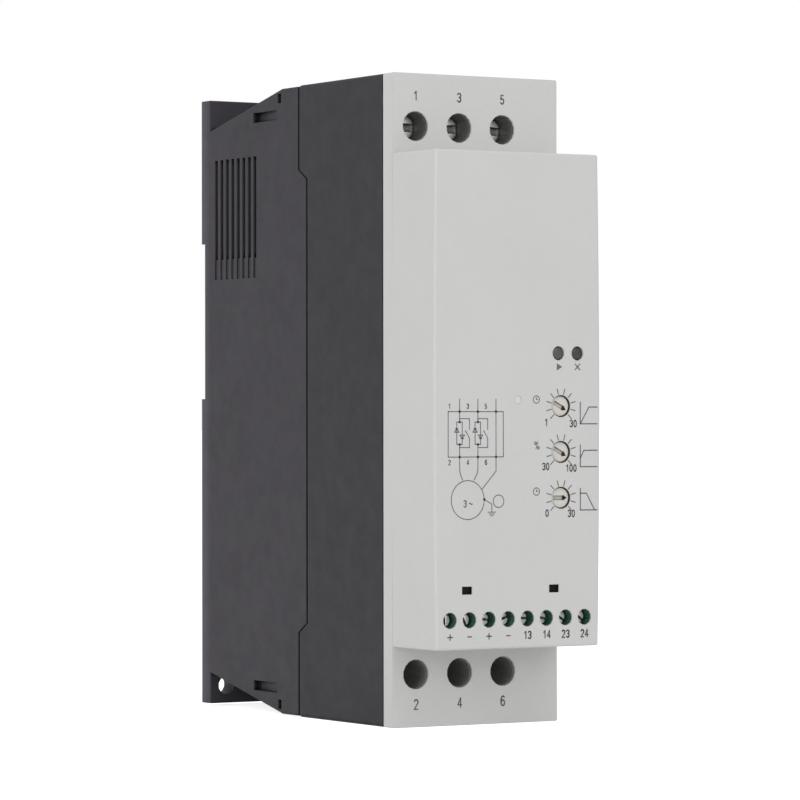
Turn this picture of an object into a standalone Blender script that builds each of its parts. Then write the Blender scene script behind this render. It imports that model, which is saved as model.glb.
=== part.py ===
"""Motor soft starter in a 45 mm wide housing, for a 35 mm rail or a panel.

The front faces -Y and up is +Z. The origin is on the floor, under the middle of the
housing. Depths are called forward and are measured from the mounting plane at the rear.
"""
import math
from collections import namedtuple

import bmesh
import bpy

MM = 0.001

# Whole device
BODY_WIDTH = 45.0 * MM
BODY_HEIGHT = 150.0 * MM
BODY_DEPTH = 110.0 * MM
CLEARANCE = 0.3 * MM
MERGE_DISTANCE = 0.001 * MM
CUT_MARGIN = 1.0 * MM
ORIGIN_FORWARD = BODY_DEPTH / 2
QUARTER_TURN = math.pi / 2
SMOOTH_ANGLE = math.radians(35.0)

# Depth of each part of the housing, from the face back to the seam
RAISED_DEPTH = 18.1 * MM
STEP_DEPTH = 4.1 * MM
FRONT_HOUSING_DEPTH = 38.7 * MM
STEP_FACE = BODY_DEPTH - RAISED_DEPTH
COVER_JOINT = STEP_FACE - STEP_DEPTH
SEAM_FORWARD = COVER_JOINT - FRONT_HOUSING_DEPTH

# Number of sides of round holes and pieces, by size
LARGE_SIDES = 16
SMALL_SIDES = 12
FINE_SIDES = 10
CORNER_STEPS = 2

# Rear housing
WALL = 2.0 * MM
BACK_WALL = 6.4 * MM
PLATE_THICKNESS = 5.3 * MM
PLATE_INSET = 0.7 * MM
PLATE_EDGE_ROUND = 1.1 * MM
REAR_INSET = 0.32 * MM
SLOPE_DROP = 8.4 * MM
SLOPE_END_TO_SEAM = 7.8 * MM
MOUNT_HOLE_DIAMETER = 4.5 * MM
MOUNT_HOLE_EDGE = 4.5 * MM
MOUNT_HOLE_INSET = 5.0 * MM

# Seam between the two housings
SEAM_BULGE = 3.8 * MM
SEAM_BULGE_INSET = 20.1 * MM
SEAM_BULGE_RAMP = 2.3 * MM
SEAM_GAP = 0.65 * MM
TONGUE_LENGTH = 3.0 * MM
TONGUE_THICKNESS = 1.2 * MM

# Rail recess with its hook
RAIL_WIDTH = 35.0 * MM
RAIL_PLAY = 0.3 * MM
RAIL_HOOK_OVERLAP = 1.5 * MM
RAIL_LIP_THICKNESS = 1.1 * MM
NOTCH_TOP_INSET = 36.0 * MM
NOTCH_HEIGHT = 38.3 * MM
NOTCH_LOW = BODY_HEIGHT - NOTCH_TOP_INSET - NOTCH_HEIGHT
NOTCH_DEPTH = 2.56 * MM
HOOK_WIDTH = 26.0 * MM

# Side vents, grilles in the sloping walls and side recesses for clip-on accessories
VENT_COUNT = 8
VENT_PITCH = 2.76 * MM
VENT_FIRST_FORWARD = 8.5 * MM
VENT_WIDTH = 1.4 * MM
VENT_TOP_INSET = 15.7 * MM
VENT_LENGTH = 24.3 * MM
VENT_GROOVE_LENGTH = 5.0 * MM
VENT_GROOVE_DEPTH = 0.8 * MM
GRILLE_MARGIN = 2.0 * MM
GRILLE_PITCH = 4.0 * MM
GRILLE_SLOT_WIDTH = 2.4 * MM
GRILLE_START = 9.5 * MM
GRILLE_LENGTH = 15.0 * MM
CLIP_RECESS_TO_SEAM = 22.0 * MM
CLIP_RECESS_LENGTH = 11.5 * MM
CLIP_RECESS_INSET = 5.2 * MM
CLIP_RECESS_HEIGHT = 2.4 * MM
CLIP_RECESS_DEPTH = 1.5 * MM
CLIP_RAMP_LENGTH = 8.6 * MM
CLIP_SLOT_TO_SEAM = 10.1 * MM
CLIP_SLOT_LENGTH = 1.6 * MM
CLIP_SLOT_INSET = 1.4 * MM
CLIP_SLOT_HEIGHT = 2.2 * MM

# Front housing and front cover
HOUSING_EDGE_ROUND = 0.7 * MM
COVER_CORNER_ROUND = 0.4 * MM
COVER_WALL = 1.3 * MM
RAISED_MARGIN = 18.5 * MM
RAISED_DRAFT = 0.5 * MM
RAISED_BOW_STEPS = 8
RAISED_EDGE_ROUND = 0.6 * MM
FACE_THICKNESS = 1.6 * MM
HOLE_LIP = 0.6 * MM
WINDOW_WIDTH = 2.7 * MM
WINDOW_HEIGHT = 1.8 * MM
WINDOW_Z = 31.9 * MM
WINDOW_LEFT_EDGE = 8.75 * MM
WINDOW_RIGHT_EDGE = 12.75 * MM
CATCH_MARGIN = 0.9 * MM
THIN_LIP = 0.35 * MM
GATE_DIAMETER = 1.9 * MM
GATE_DEPTH = 0.25 * MM

# Places of the terminals
POLE_COUNT = 3
POLE_PITCH = 11.8 * MM
POLE_EDGE = 6.3 * MM
POLE_INSET = 12.15 * MM
CONTROL_PITCH = 5.2 * MM
CONTROL_EDGE = 4.2 * MM
CONTROL_Z = 25.2 * MM

# A terminal is a captive screw that lifts a cage along its axis. Its forward places are
# those of the seat's rear side, the open cage, and the bar that the wire is clamped to.
Places = namedtuple("Places", ("seat_back", "cage_front", "bar_front", "bar_back", "cage_back"))
Terminal = namedtuple("Terminal", (
    "hole_diameter", "head_diameter", "head_height", "shaft_diameter", "slot_width",
    "slot_depth", "chamfer", "seat", "travel", "cage_plate", "cage_width", "cage_height",
    "wire_gap", "bar_thickness", "bar_width", "sides"))
POWER = Terminal(
    hole_diameter=6.9 * MM, head_diameter=6.0 * MM, head_height=2.2 * MM,
    shaft_diameter=4.0 * MM, slot_width=1.6 * MM, slot_depth=1.1 * MM, chamfer=0.35 * MM,
    seat=0.9 * MM, travel=4.5 * MM, cage_plate=1.0 * MM, cage_width=8.0 * MM, cage_height=6.4 * MM,
    wire_gap=5.2 * MM, bar_thickness=1.2 * MM, bar_width=5.2 * MM, sides=SMALL_SIDES)
CONTROL = Terminal(
    hole_diameter=3.7 * MM, head_diameter=3.0 * MM, head_height=1.1 * MM,
    shaft_diameter=1.8 * MM, slot_width=0.5 * MM, slot_depth=0.6 * MM, chamfer=0.2 * MM,
    seat=0.5 * MM, travel=2.0 * MM, cage_plate=0.5 * MM, cage_width=3.6 * MM, cage_height=4.0 * MM,
    wire_gap=2.3 * MM, bar_thickness=0.6 * MM, bar_width=2.0 * MM, sides=FINE_SIDES)
LINE_HEAD_DEPTH = 5.0 * MM
LOAD_HEAD_DEPTH = 13.0 * MM
CONTROL_HEAD_DEPTH = 2.6 * MM
CROSS_RECESS_WIDTH = 3.4 * MM
BLOCK_BACK_WALL = 3.0 * MM
BLOCK_FLOOR = 2.2 * MM
BLOCK_COLLAR_WALL = 1.2 * MM
WIRE_ENTRY_WIDTH = 8.2 * MM
CONTROL_RIDGE_HEIGHT = 5.0 * MM
CONTROL_BLOCK_ROOF = 1.8 * MM
CONTROL_ENTRY_WIDTH = 3.4 * MM
LINE_SCREW_ANGLES = (3.0, -2.0, 5.0)
LOAD_SCREW_ANGLES = (20.0, -35.0, 60.0)
CONTROL_SCREW_ANGLES = (86.0, 66.0, 8.0, -20.0, 2.0, 14.0, 34.0, 38.0)

# Control board with the indicator lamps and the setting trimmers
BOARD_THICKNESS = 1.6 * MM
CONTROL_BOARD_DEPTH = 16.0 * MM
CONTROL_BOARD_BACK = BODY_DEPTH - CONTROL_BOARD_DEPTH
CONTROL_BOARD_FRONT = CONTROL_BOARD_BACK + BOARD_THICKNESS
LAMP_DIAMETER = 3.0 * MM
LAMP_Z = 85.7 * MM
LAMP_EDGES = (11.45 * MM, 6.25 * MM)
LAMP_DOME = 0.38 * MM
LAMP_SUNK = 0.1 * MM
LAMP_FLANGE = 4.0 * MM
LAMP_FLANGE_HEIGHT = 1.6 * MM
TRIMMER_EDGE = 10.8 * MM
TRIMMER_Z = (73.6 * MM, 63.1 * MM, 52.6 * MM)
TRIMMER_POINTER = (118.0, 118.0, 90.0)
TRIMMER_DIAMETER = 4.5 * MM
TRIMMER_HOLE_DIAMETER = 5.1 * MM
TRIMMER_SUNK = 0.45 * MM
TRIMMER_CHAMFER = 0.2 * MM
TRIMMER_HEAD_HEIGHT = 2.4 * MM
TRIMMER_SHAFT = 2.2 * MM
TRIMMER_BODY_SIZE = 6.6 * MM
TRIMMER_BODY_HEIGHT = 4.6 * MM
POINTER_WIDTH = 0.8 * MM
POINTER_HEAD = 1.9 * MM
POINTER_HEAD_LENGTH = 1.4 * MM
POINTER_MARGIN = 0.4 * MM
POINTER_DEPTH = 0.7 * MM

# Power section
SINK_INSET = 13.5 * MM
SINK_BASE_THICKNESS = 3.6 * MM
SINK_FIN_LENGTH = 19.0 * MM
SINK_FIN_THICKNESS = 1.3 * MM
SINK_FIN_COUNT = 9
MODULE_GAP = 3.0 * MM
MODULE_HEIGHT = 30.0 * MM
MODULE_THICKNESS = 8.0 * MM
MODULE_FOOT = 3.0 * MM
MODULE_FOOT_THICKNESS = 2.7 * MM
POWER_BOARD_HEIGHT = 106.0 * MM
RELAY_GAP = 2.0 * MM
RELAY_HEIGHT = 28.0 * MM
RELAY_THICKNESS = 16.0 * MM
RELAY_ROUND = 0.8 * MM
BAR_DROP = 16.0 * MM

# Rail latch with its spring
LATCH_WIDTH = 12.6 * MM
LATCH_MOUTH_WIDTH = 9.6 * MM
LATCH_DEPTH = 2.7 * MM
LATCH_MOUTH_DEPTH = 1.2 * MM
LATCH_TRAVEL = 2.8 * MM
LATCH_FOOT_MARGIN = 0.8 * MM
LATCH_FOOT_INSET = LATCH_TRAVEL + LATCH_FOOT_MARGIN
LATCH_EYE_WIDTH = 5.0 * MM
LATCH_EYE_HEIGHT = 1.8 * MM
LATCH_POCKET_WIDTH = 3.4 * MM
LATCH_POCKET_INSET = 9.7 * MM
LATCH_POCKET_HIGH = NOTCH_LOW - LATCH_POCKET_INSET
LATCH_NOSE_TIP = 0.5 * MM
SPRING_LENGTH = 14.0 * MM
SPRING_DIAMETER = 1.9 * MM
SPRING_WIRE = 0.4 * MM
SPRING_TURNS = 5
SPRING_STEPS = 8
SPRING_STOP_HEIGHT = 2.0 * MM

# Colour in sRGB, roughness and metallic value of each finish
FINISHES = {
    "grey_cover": ((0.80, 0.80, 0.79), 0.45, 0.0),
    "dark_housing": ((0.29, 0.29, 0.30), 0.55, 0.0),
    "black_plastic": ((0.10, 0.10, 0.11), 0.50, 0.0),
    "terminal_green": ((0.16, 0.42, 0.30), 0.45, 0.0),
    "board_green": ((0.10, 0.30, 0.16), 0.50, 0.0),
    "trimmer_ivory": ((0.85, 0.84, 0.79), 0.40, 0.0),
    "trimmer_blue": ((0.15, 0.25, 0.50), 0.50, 0.0),
    "lamp_dark": ((0.20, 0.15, 0.13), 0.15, 0.0),
    "nickel": ((0.75, 0.74, 0.72), 0.25, 1.0),
    "zinc": ((0.62, 0.62, 0.60), 0.35, 1.0),
    "copper": ((0.80, 0.55, 0.40), 0.30, 1.0),
    "aluminium": ((0.72, 0.73, 0.74), 0.35, 1.0),
    "spring_steel": ((0.55, 0.55, 0.55), 0.30, 1.0),
    "relay_black": ((0.13, 0.13, 0.13), 0.40, 0.0),
    "module_epoxy": ((0.18, 0.18, 0.19), 0.60, 0.0),
}


def clear_scene():
    """Removes every object that the file holds."""
    for item in list(bpy.data.objects):
        bpy.data.objects.remove(item, do_unlink=True)


def y_at(forward):
    """Y of a plane that lies so far forward of the mounting plane."""
    return ORIGIN_FORWARD - forward


def linear(value):
    """Linear value of one sRGB colour channel."""
    if value <= 0.04045:
        return value / 12.92
    return ((value + 0.055) / 1.055) ** 2.4


def make_material(name, finish):
    """Material of one object, with its finish's colour, roughness and metallic value."""
    colour, roughness, metallic = FINISHES[finish]
    material = bpy.data.materials.new(name)
    material.use_nodes = True
    shader = material.node_tree.nodes["Principled BSDF"]
    shader.inputs["Base Color"].default_value = (*[linear(channel) for channel in colour], 1.0)
    shader.inputs["Roughness"].default_value = roughness
    shader.inputs["Metallic"].default_value = metallic
    return material


def finish_object(name, bm, finish=None, origin=(0.0, 0.0, 0.0), smooth=False):
    """Links the mesh as an object whose origin is the given point."""
    bmesh.ops.remove_doubles(bm, verts=bm.verts, dist=MERGE_DISTANCE)
    bmesh.ops.recalc_face_normals(bm, faces=bm.faces)
    bmesh.ops.translate(bm, verts=bm.verts, vec=[-value for value in origin])
    mesh = bpy.data.meshes.new(name)
    bm.to_mesh(mesh)
    bm.free()
    item = bpy.data.objects.new(name, mesh)
    item.location = origin
    bpy.context.scene.collection.objects.link(item)
    if finish:
        mesh.materials.append(make_material(name, finish))
    if smooth:
        mesh.shade_smooth()
        mesh.set_sharp_from_angle(angle=SMOOTH_ANGLE)
    return item


def combine(target, tool, operation="DIFFERENCE"):
    """Adds an exact Boolean by a tool object, which becomes a hidden guide."""
    modifier = target.modifiers.new(tool.name, "BOOLEAN")
    modifier.operation = operation
    modifier.solver = "EXACT"
    modifier.object = tool
    tool.hide_render = True
    tool.display_type = "WIRE"


def add_prism(bm, outline, direction):
    """Extrudes a flat outline of points along a direction."""
    face = bm.faces.new([bm.verts.new(point) for point in outline])
    grown = bmesh.ops.extrude_face_region(bm, geom=[face])
    moved = [item for item in grown["geom"] if isinstance(item, bmesh.types.BMVert)]
    bmesh.ops.translate(bm, verts=moved, vec=direction)
    return moved


def add_side_prism(bm, outline, low_x, high_x):
    """Extrudes an outline of (forward, z) points across the width."""
    points = [(low_x, y_at(forward), z) for forward, z in outline]
    return add_prism(bm, points, (high_x - low_x, 0.0, 0.0))


def add_front_prism(bm, outline, back, front):
    """Extrudes an outline of (x, z) points from one forward plane to another."""
    points = [(x, y_at(back), z) for x, z in outline]
    return add_prism(bm, points, (0.0, back - front, 0.0))


def add_plan_prism(bm, outline, low_z, high_z):
    """Extrudes an outline of (x, forward) points upward."""
    points = [(x, y_at(forward), low_z) for x, forward in outline]
    return add_prism(bm, points, (0.0, 0.0, high_z - low_z))


def add_box(bm, x_range, forward_range, z_range):
    """Adds a box between two values on each axis."""
    outline = [(x, z) for x, z in (
        (x_range[0], z_range[0]), (x_range[1], z_range[0]),
        (x_range[1], z_range[1]), (x_range[0], z_range[1]))]
    return add_front_prism(bm, outline, forward_range[0], forward_range[1])


def add_round(bm, x, z, diameter, back, front, sides):
    """Adds a cylinder whose axis runs from back to front."""
    outline = [
        (x + diameter / 2 * math.sin(2 * math.pi * (step + 0.5) / sides),
         z + diameter / 2 * math.cos(2 * math.pi * (step + 0.5) / sides))
        for step in range(sides)]
    return add_front_prism(bm, outline, back, front)


def add_turned(bm, x, z, profile, sides):
    """Spins a profile of (radius, forward) points about an axis that runs front to back."""
    points = [bm.verts.new((x + radius, y_at(forward), z)) for radius, forward in profile]
    edges = [bm.edges.new(pair) for pair in zip(points, points[1:])]
    bmesh.ops.spin(
        bm, geom=points + edges, cent=(x, 0.0, z), axis=(0.0, 1.0, 0.0),
        angle=2 * math.pi, steps=sides, use_merge=True)


def centred(middle, size):
    """Low and high value of a size about its middle."""
    return (middle - size / 2, middle + size / 2)


def corner_arc(x, z, radius, quarter):
    """Points of a round corner about (x, z), from one quarter turn to the next."""
    points = []
    for step in range(CORNER_STEPS + 1):
        angle = (quarter + step / CORNER_STEPS) * QUARTER_TURN
        points.append((x + radius * math.cos(angle), z + radius * math.sin(angle)))
    return points


def rounded_outline(half_width, low, high, radius):
    """Outline of (x, z) points of an upright rectangle with round corners."""
    right, left = half_width - radius, radius - half_width
    corners = (
        (right, low + radius), (right, high - radius), (left, high - radius), (left, low + radius))
    outline = []
    for index, (x, z) in enumerate(corners):
        outline += corner_arc(x, z, radius, index - 1)
    return outline


def bevel_edges(bm, chosen, width, segments=2):
    """Rounds the edges for which a test of the edge says so."""
    edges = [edge for edge in bm.edges if chosen(edge)]
    bmesh.ops.bevel(
        bm, geom=edges, offset=width, segments=segments, profile=0.5, affect="EDGES",
        clamp_overlap=True)


def both_ends(inset):
    """Height near the floor, and its mirror near the top."""
    return (inset, BODY_HEIGHT - inset)


def seam_line(shift):
    """Points (forward, z) of the seam from the top down, moved forward by a shift."""
    low_start = SEAM_BULGE_INSET
    low_end = SEAM_BULGE_INSET + SEAM_BULGE_RAMP
    return [
        (SEAM_FORWARD + shift, BODY_HEIGHT - low_start),
        (SEAM_FORWARD + SEAM_BULGE + shift, BODY_HEIGHT - low_end),
        (SEAM_FORWARD + SEAM_BULGE + shift, low_end),
        (SEAM_FORWARD + shift, low_start)]


def slope_end():
    """Forward place where the rear housing's roof stops rising."""
    return SEAM_FORWARD - SLOPE_END_TO_SEAM


def slope_height(forward, sink=0.0):
    """Height of the rear housing's sloping roof, or of a plane so far under it."""
    low = BODY_HEIGHT - SLOPE_DROP
    high = BODY_HEIGHT - REAR_INSET
    share = (forward - PLATE_THICKNESS) / (slope_end() - PLATE_THICKNESS)
    return low + (high - low) * min(max(share, 0.0), 1.0) - sink


def mirrored(outline):
    """Outline of (forward, z) points reflected top to bottom, in the opposite order."""
    return [(forward, BODY_HEIGHT - z) for forward, z in reversed(outline)]


def rear_outline():
    """Side outline of the rear housing: flange, sloping roof and floor, and seam edge."""
    edge = SEAM_FORWARD - SEAM_GAP / 2
    upper = [
        (0.0, BODY_HEIGHT - PLATE_INSET),
        (PLATE_THICKNESS, BODY_HEIGHT - PLATE_INSET),
        (PLATE_THICKNESS, slope_height(PLATE_THICKNESS)),
        (slope_end(), slope_height(slope_end())),
        (edge, slope_height(slope_end()))]
    return upper + seam_line(-SEAM_GAP / 2) + mirrored(upper)


def rear_cavity_outline():
    """Side outline of the rear housing's hollow, a wall's thickness inside the roof."""
    upper = [
        (BACK_WALL, slope_height(BACK_WALL, WALL)),
        (slope_end(), slope_height(slope_end(), WALL)),
        (SEAM_FORWARD + SEAM_BULGE + CUT_MARGIN, slope_height(slope_end(), WALL))]
    return upper + mirrored(upper)


def half_inside():
    """Half the width between the housings' side walls."""
    return BODY_WIDTH / 2 - WALL


def tongue_half():
    """Half the outer width of the front housing's tongue."""
    return half_inside() - CLEARANCE


def half_through_tongue():
    """Half the width of what stands in the tongue."""
    return tongue_half() - TONGUE_THICKNESS - CLEARANCE


def side_by_side(gap):
    """Ranges of x of two pieces that share that width, with a gap between them."""
    half = half_through_tongue()
    return ((-half, -gap / 2), (gap / 2, half))


def vent_range():
    """Low and high of the side vents."""
    high = BODY_HEIGHT - VENT_TOP_INSET
    return high - VENT_LENGTH, high


def make_vent_tool():
    """Cutter of the side vents: slots through both walls with shallow grooves below."""
    bm = bmesh.new()
    reach = BODY_WIDTH / 2 + CUT_MARGIN
    for index in range(VENT_COUNT):
        forward = centred(VENT_FIRST_FORWARD + index * VENT_PITCH, VENT_WIDTH)
        add_box(bm, (-reach, reach), forward, vent_range())
    return finish_object("cut_side_vents", bm)


def make_vent_groove_tool():
    """Cutter of the shallow grooves that run on below the side vents."""
    bm = bmesh.new()
    outside = BODY_WIDTH / 2 + CUT_MARGIN
    floor = BODY_WIDTH / 2 - VENT_GROOVE_DEPTH
    high = vent_range()[0]
    for index in range(VENT_COUNT):
        forward = centred(VENT_FIRST_FORWARD + index * VENT_PITCH, VENT_WIDTH)
        for x_range in ((-outside, -floor), (floor, outside)):
            add_box(bm, x_range, forward, (high - VENT_GROOVE_LENGTH, high + CUT_MARGIN))
    return finish_object("cut_vent_grooves", bm)


def make_grille_tool():
    """Cutter of the slots in the sloping roof and floor, over the heat sink's channels."""
    bm = bmesh.new()
    forward = (GRILLE_START, GRILLE_START + GRILLE_LENGTH)
    depth = WALL * 2 + SLOPE_DROP
    width = 2 * (half_inside() - GRILLE_MARGIN) - GRILLE_SLOT_WIDTH
    gaps = int(width / GRILLE_PITCH)
    for index in range(gaps + 1):
        x_range = centred((index - gaps / 2) * GRILLE_PITCH, GRILLE_SLOT_WIDTH)
        add_box(bm, x_range, forward, (-CUT_MARGIN, depth))
        add_box(bm, x_range, forward, (BODY_HEIGHT - depth, BODY_HEIGHT + CUT_MARGIN))
    return finish_object("cut_grilles", bm)


def make_clip_tool():
    """Cutter of the accessory recesses in both sides, each with a ramp to its front."""
    bm = bmesh.new()
    outside = BODY_WIDTH / 2 + CUT_MARGIN
    floor = BODY_WIDTH / 2 - CLIP_RECESS_DEPTH
    start = SEAM_FORWARD - CLIP_RECESS_TO_SEAM
    ramp_end = start + CLIP_RECESS_LENGTH
    ramp_start = ramp_end - CLIP_RAMP_LENGTH
    shallow = BODY_WIDTH / 2 - CLIP_RECESS_DEPTH / 3
    plan = [
        (outside, start), (floor, start), (floor, ramp_start),
        (shallow, ramp_end), (outside, ramp_end)]
    low, high = both_ends(CLIP_RECESS_INSET)
    slot_low, slot_high = both_ends(CLIP_SLOT_INSET)
    slot_start = SEAM_FORWARD - CLIP_SLOT_TO_SEAM
    slot = (slot_start, slot_start + CLIP_SLOT_LENGTH)
    for side in (-1.0, 1.0):
        outline = [(side * x, forward) for x, forward in plan]
        x_range = sorted((side * floor, side * outside))
        add_plan_prism(bm, outline, low, low + CLIP_RECESS_HEIGHT)
        add_plan_prism(bm, outline, high - CLIP_RECESS_HEIGHT, high)
        add_box(bm, x_range, slot, (slot_low, slot_low + CLIP_SLOT_HEIGHT))
        add_box(bm, x_range, slot, (slot_high - CLIP_SLOT_HEIGHT, slot_high))
    return finish_object("cut_clip_recesses", bm)


def make_notch_tool():
    """Cutter of the rail recess, which leaves a hook lip over the rail's upper edge."""
    bm = bmesh.new()
    reach = BODY_WIDTH / 2 + CUT_MARGIN
    high = NOTCH_LOW + NOTCH_HEIGHT
    add_box(bm, (-reach, reach), (-CUT_MARGIN, NOTCH_DEPTH), (NOTCH_LOW, high))
    return finish_object("cut_rail_recess", bm)


def make_hook():
    """Lip that stands over the upper edge of the rail, grown into the plate above it."""
    bm = bmesh.new()
    high = NOTCH_LOW + NOTCH_HEIGHT
    outline = [
        (-HOOK_WIDTH / 2, high - RAIL_PLAY - RAIL_HOOK_OVERLAP),
        (HOOK_WIDTH / 2, high - RAIL_PLAY - RAIL_HOOK_OVERLAP),
        (HOOK_WIDTH / 2, high + CUT_MARGIN), (-HOOK_WIDTH / 2, high + CUT_MARGIN)]
    add_front_prism(bm, outline, 0.0, RAIL_LIP_THICKNESS)
    return finish_object("add_rail_hook", bm)


def make_latch_channel_tool():
    """Cutter of the T-shaped channel that the rail latch slides in."""
    bm = bmesh.new()
    half, mouth = LATCH_WIDTH / 2, LATCH_MOUTH_WIDTH / 2
    plan = [
        (-mouth, -CUT_MARGIN), (mouth, -CUT_MARGIN), (mouth, LATCH_MOUTH_DEPTH),
        (half, LATCH_MOUTH_DEPTH), (half, LATCH_DEPTH), (-half, LATCH_DEPTH),
        (-half, LATCH_MOUTH_DEPTH), (-mouth, LATCH_MOUTH_DEPTH)]
    add_plan_prism(bm, plan, -CUT_MARGIN, NOTCH_LOW + CUT_MARGIN)
    return finish_object("cut_latch_channel", bm)


def spring_stop_range():
    """Low and high of the block that the spring's lower end rests on."""
    high = LATCH_POCKET_HIGH - SPRING_LENGTH - CLEARANCE * 2
    return high - SPRING_STOP_HEIGHT, high


def make_spring_stop():
    """Block in the latch channel that the spring's lower end rests on."""
    bm = bmesh.new()
    half = LATCH_POCKET_WIDTH / 2 - CLEARANCE
    add_box(
        bm, (-half, half), (LATCH_DEPTH - SPRING_DIAMETER - CLEARANCE, LATCH_DEPTH + CUT_MARGIN),
        spring_stop_range())
    return finish_object("add_spring_stop", bm)


def make_mount_hole_tool():
    """Cutter of the two screw holes at opposite corners of the flange."""
    bm = bmesh.new()
    low, high = both_ends(MOUNT_HOLE_INSET)
    front = PLATE_THICKNESS + CUT_MARGIN
    x = BODY_WIDTH / 2 - MOUNT_HOLE_EDGE
    add_round(bm, -x, low, MOUNT_HOLE_DIAMETER, -CUT_MARGIN, front, SMALL_SIDES)
    add_round(bm, x, high, MOUNT_HOLE_DIAMETER, -CUT_MARGIN, front, SMALL_SIDES)
    return finish_object("cut_mount_holes", bm)


def make_rear_housing():
    """Moulded rear housing with flange, sloping ends, vents and the rail recess."""
    bm = bmesh.new()
    side = BODY_WIDTH / 2
    add_side_prism(bm, rear_outline(), -side, side)

    def on_rear_corner(edge):
        flat = all(abs(vert.co.y - y_at(0.0)) < MERGE_DISTANCE for vert in edge.verts)
        return flat and abs(edge.verts[0].co.x - edge.verts[1].co.x) < MERGE_DISTANCE

    bevel_edges(bm, on_rear_corner, PLATE_EDGE_ROUND)
    housing = finish_object("rear_housing", bm, "dark_housing")
    bm = bmesh.new()
    add_side_prism(bm, rear_cavity_outline(), -half_inside(), half_inside())
    combine(housing, finish_object("cut_rear_hollow", bm))
    combine(housing, make_notch_tool())
    combine(housing, make_hook(), "UNION")
    combine(housing, make_latch_channel_tool())
    combine(housing, make_spring_stop(), "UNION")
    combine(housing, make_vent_tool())
    combine(housing, make_vent_groove_tool())
    combine(housing, make_grille_tool())
    combine(housing, make_clip_tool())
    combine(housing, make_mount_hole_tool())
    return housing


def head_top(head_depth):
    """Forward place of a power screw's head, sunk below the cover's lower face."""
    return STEP_FACE - head_depth


def cage_places(size, top):
    """Forward places of a terminal's pieces, from a screw whose head ends at top."""
    seat_back = top - size.head_height - size.seat
    cage_front = seat_back - CLEARANCE - size.travel
    bar_front = cage_front - size.cage_plate - CLEARANCE
    bar_back = bar_front - size.bar_thickness
    cage_back = bar_back - size.wire_gap - size.cage_plate
    return Places(seat_back, cage_front, bar_front, bar_back, cage_back)


def wire_room(size, places):
    """Forward range of the gap that a wire enters, in the open cage."""
    return places.cage_back + size.cage_plate - CLEARANCE, places.bar_back + CLEARANCE


def pole_x(index):
    """X of a power terminal."""
    return POLE_EDGE - BODY_WIDTH / 2 + index * POLE_PITCH


def control_x(index):
    """X of a control terminal."""
    return CONTROL_EDGE - BODY_WIDTH / 2 + index * CONTROL_PITCH


def control_count():
    """How many control terminals the width holds."""
    return int((BODY_WIDTH - 2 * CONTROL_EDGE) / CONTROL_PITCH) + 1


def from_right(edge):
    """X of a place so far from the right side."""
    return BODY_WIDTH / 2 - edge


def window_places():
    """X of the two windows in the raised front."""
    return WINDOW_LEFT_EDGE - BODY_WIDTH / 2, from_right(WINDOW_RIGHT_EDGE)


def make_wire_entry_tool():
    """Cutter of the wire entries in the front housing's roof and floor."""
    bm = bmesh.new()
    reach = WALL + CUT_MARGIN
    for head_depth, z_range in (
            (LINE_HEAD_DEPTH, (BODY_HEIGHT - reach, BODY_HEIGHT + CUT_MARGIN)),
            (LOAD_HEAD_DEPTH, (-CUT_MARGIN, reach))):
        forward = wire_room(POWER, cage_places(POWER, head_top(head_depth)))
        for index in range(POLE_COUNT):
            add_box(bm, centred(pole_x(index), WIRE_ENTRY_WIDTH), forward, z_range)
    return finish_object("cut_wire_entries", bm)


def make_front_housing():
    """Dark middle housing with a tongue that enters the rear housing at the seam."""
    bm = bmesh.new()
    side = BODY_WIDTH / 2
    front = COVER_JOINT - CLEARANCE / 2
    edge = SEAM_FORWARD + SEAM_GAP / 2
    outline = [(front, BODY_HEIGHT), (edge, BODY_HEIGHT)] + seam_line(SEAM_GAP / 2)
    outline += [(edge, 0.0), (front, 0.0)]
    add_side_prism(bm, outline, -side, side)

    def on_long_edge(edge_item):
        low, high = sorted(vert.co.z for vert in edge_item.verts)
        ends = high < MERGE_DISTANCE or low > BODY_HEIGHT - MERGE_DISTANCE
        return ends and abs(edge_item.verts[0].co.x - edge_item.verts[1].co.x) < MERGE_DISTANCE

    bevel_edges(bm, on_long_edge, HOUSING_EDGE_ROUND)
    housing = finish_object("front_housing", bm, "dark_housing")

    half = tongue_half()
    tongue_low = BODY_HEIGHT - slope_height(BODY_DEPTH, WALL) + CLEARANCE
    tongue_back = SEAM_FORWARD - TONGUE_LENGTH
    tongue_front = SEAM_FORWARD + SEAM_BULGE + TONGUE_LENGTH
    bm = bmesh.new()
    add_box(
        bm, (-half, half), (tongue_back, tongue_front),
        (tongue_low, BODY_HEIGHT - tongue_low))
    combine(housing, finish_object("add_tongue", bm), "UNION")
    bm = bmesh.new()
    inner_half = half - TONGUE_THICKNESS
    inner_low = tongue_low + TONGUE_THICKNESS
    add_box(
        bm, (-inner_half, inner_half), (tongue_back - CUT_MARGIN, tongue_front + CUT_MARGIN),
        (inner_low, BODY_HEIGHT - inner_low))
    combine(housing, finish_object("cut_tongue_hollow", bm))
    bm = bmesh.new()
    add_box(
        bm, (-half_inside(), half_inside()), (tongue_front, front + CUT_MARGIN),
        (WALL, BODY_HEIGHT - WALL))
    combine(housing, finish_object("cut_front_hollow", bm))
    combine(housing, make_wire_entry_tool())
    return housing


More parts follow.
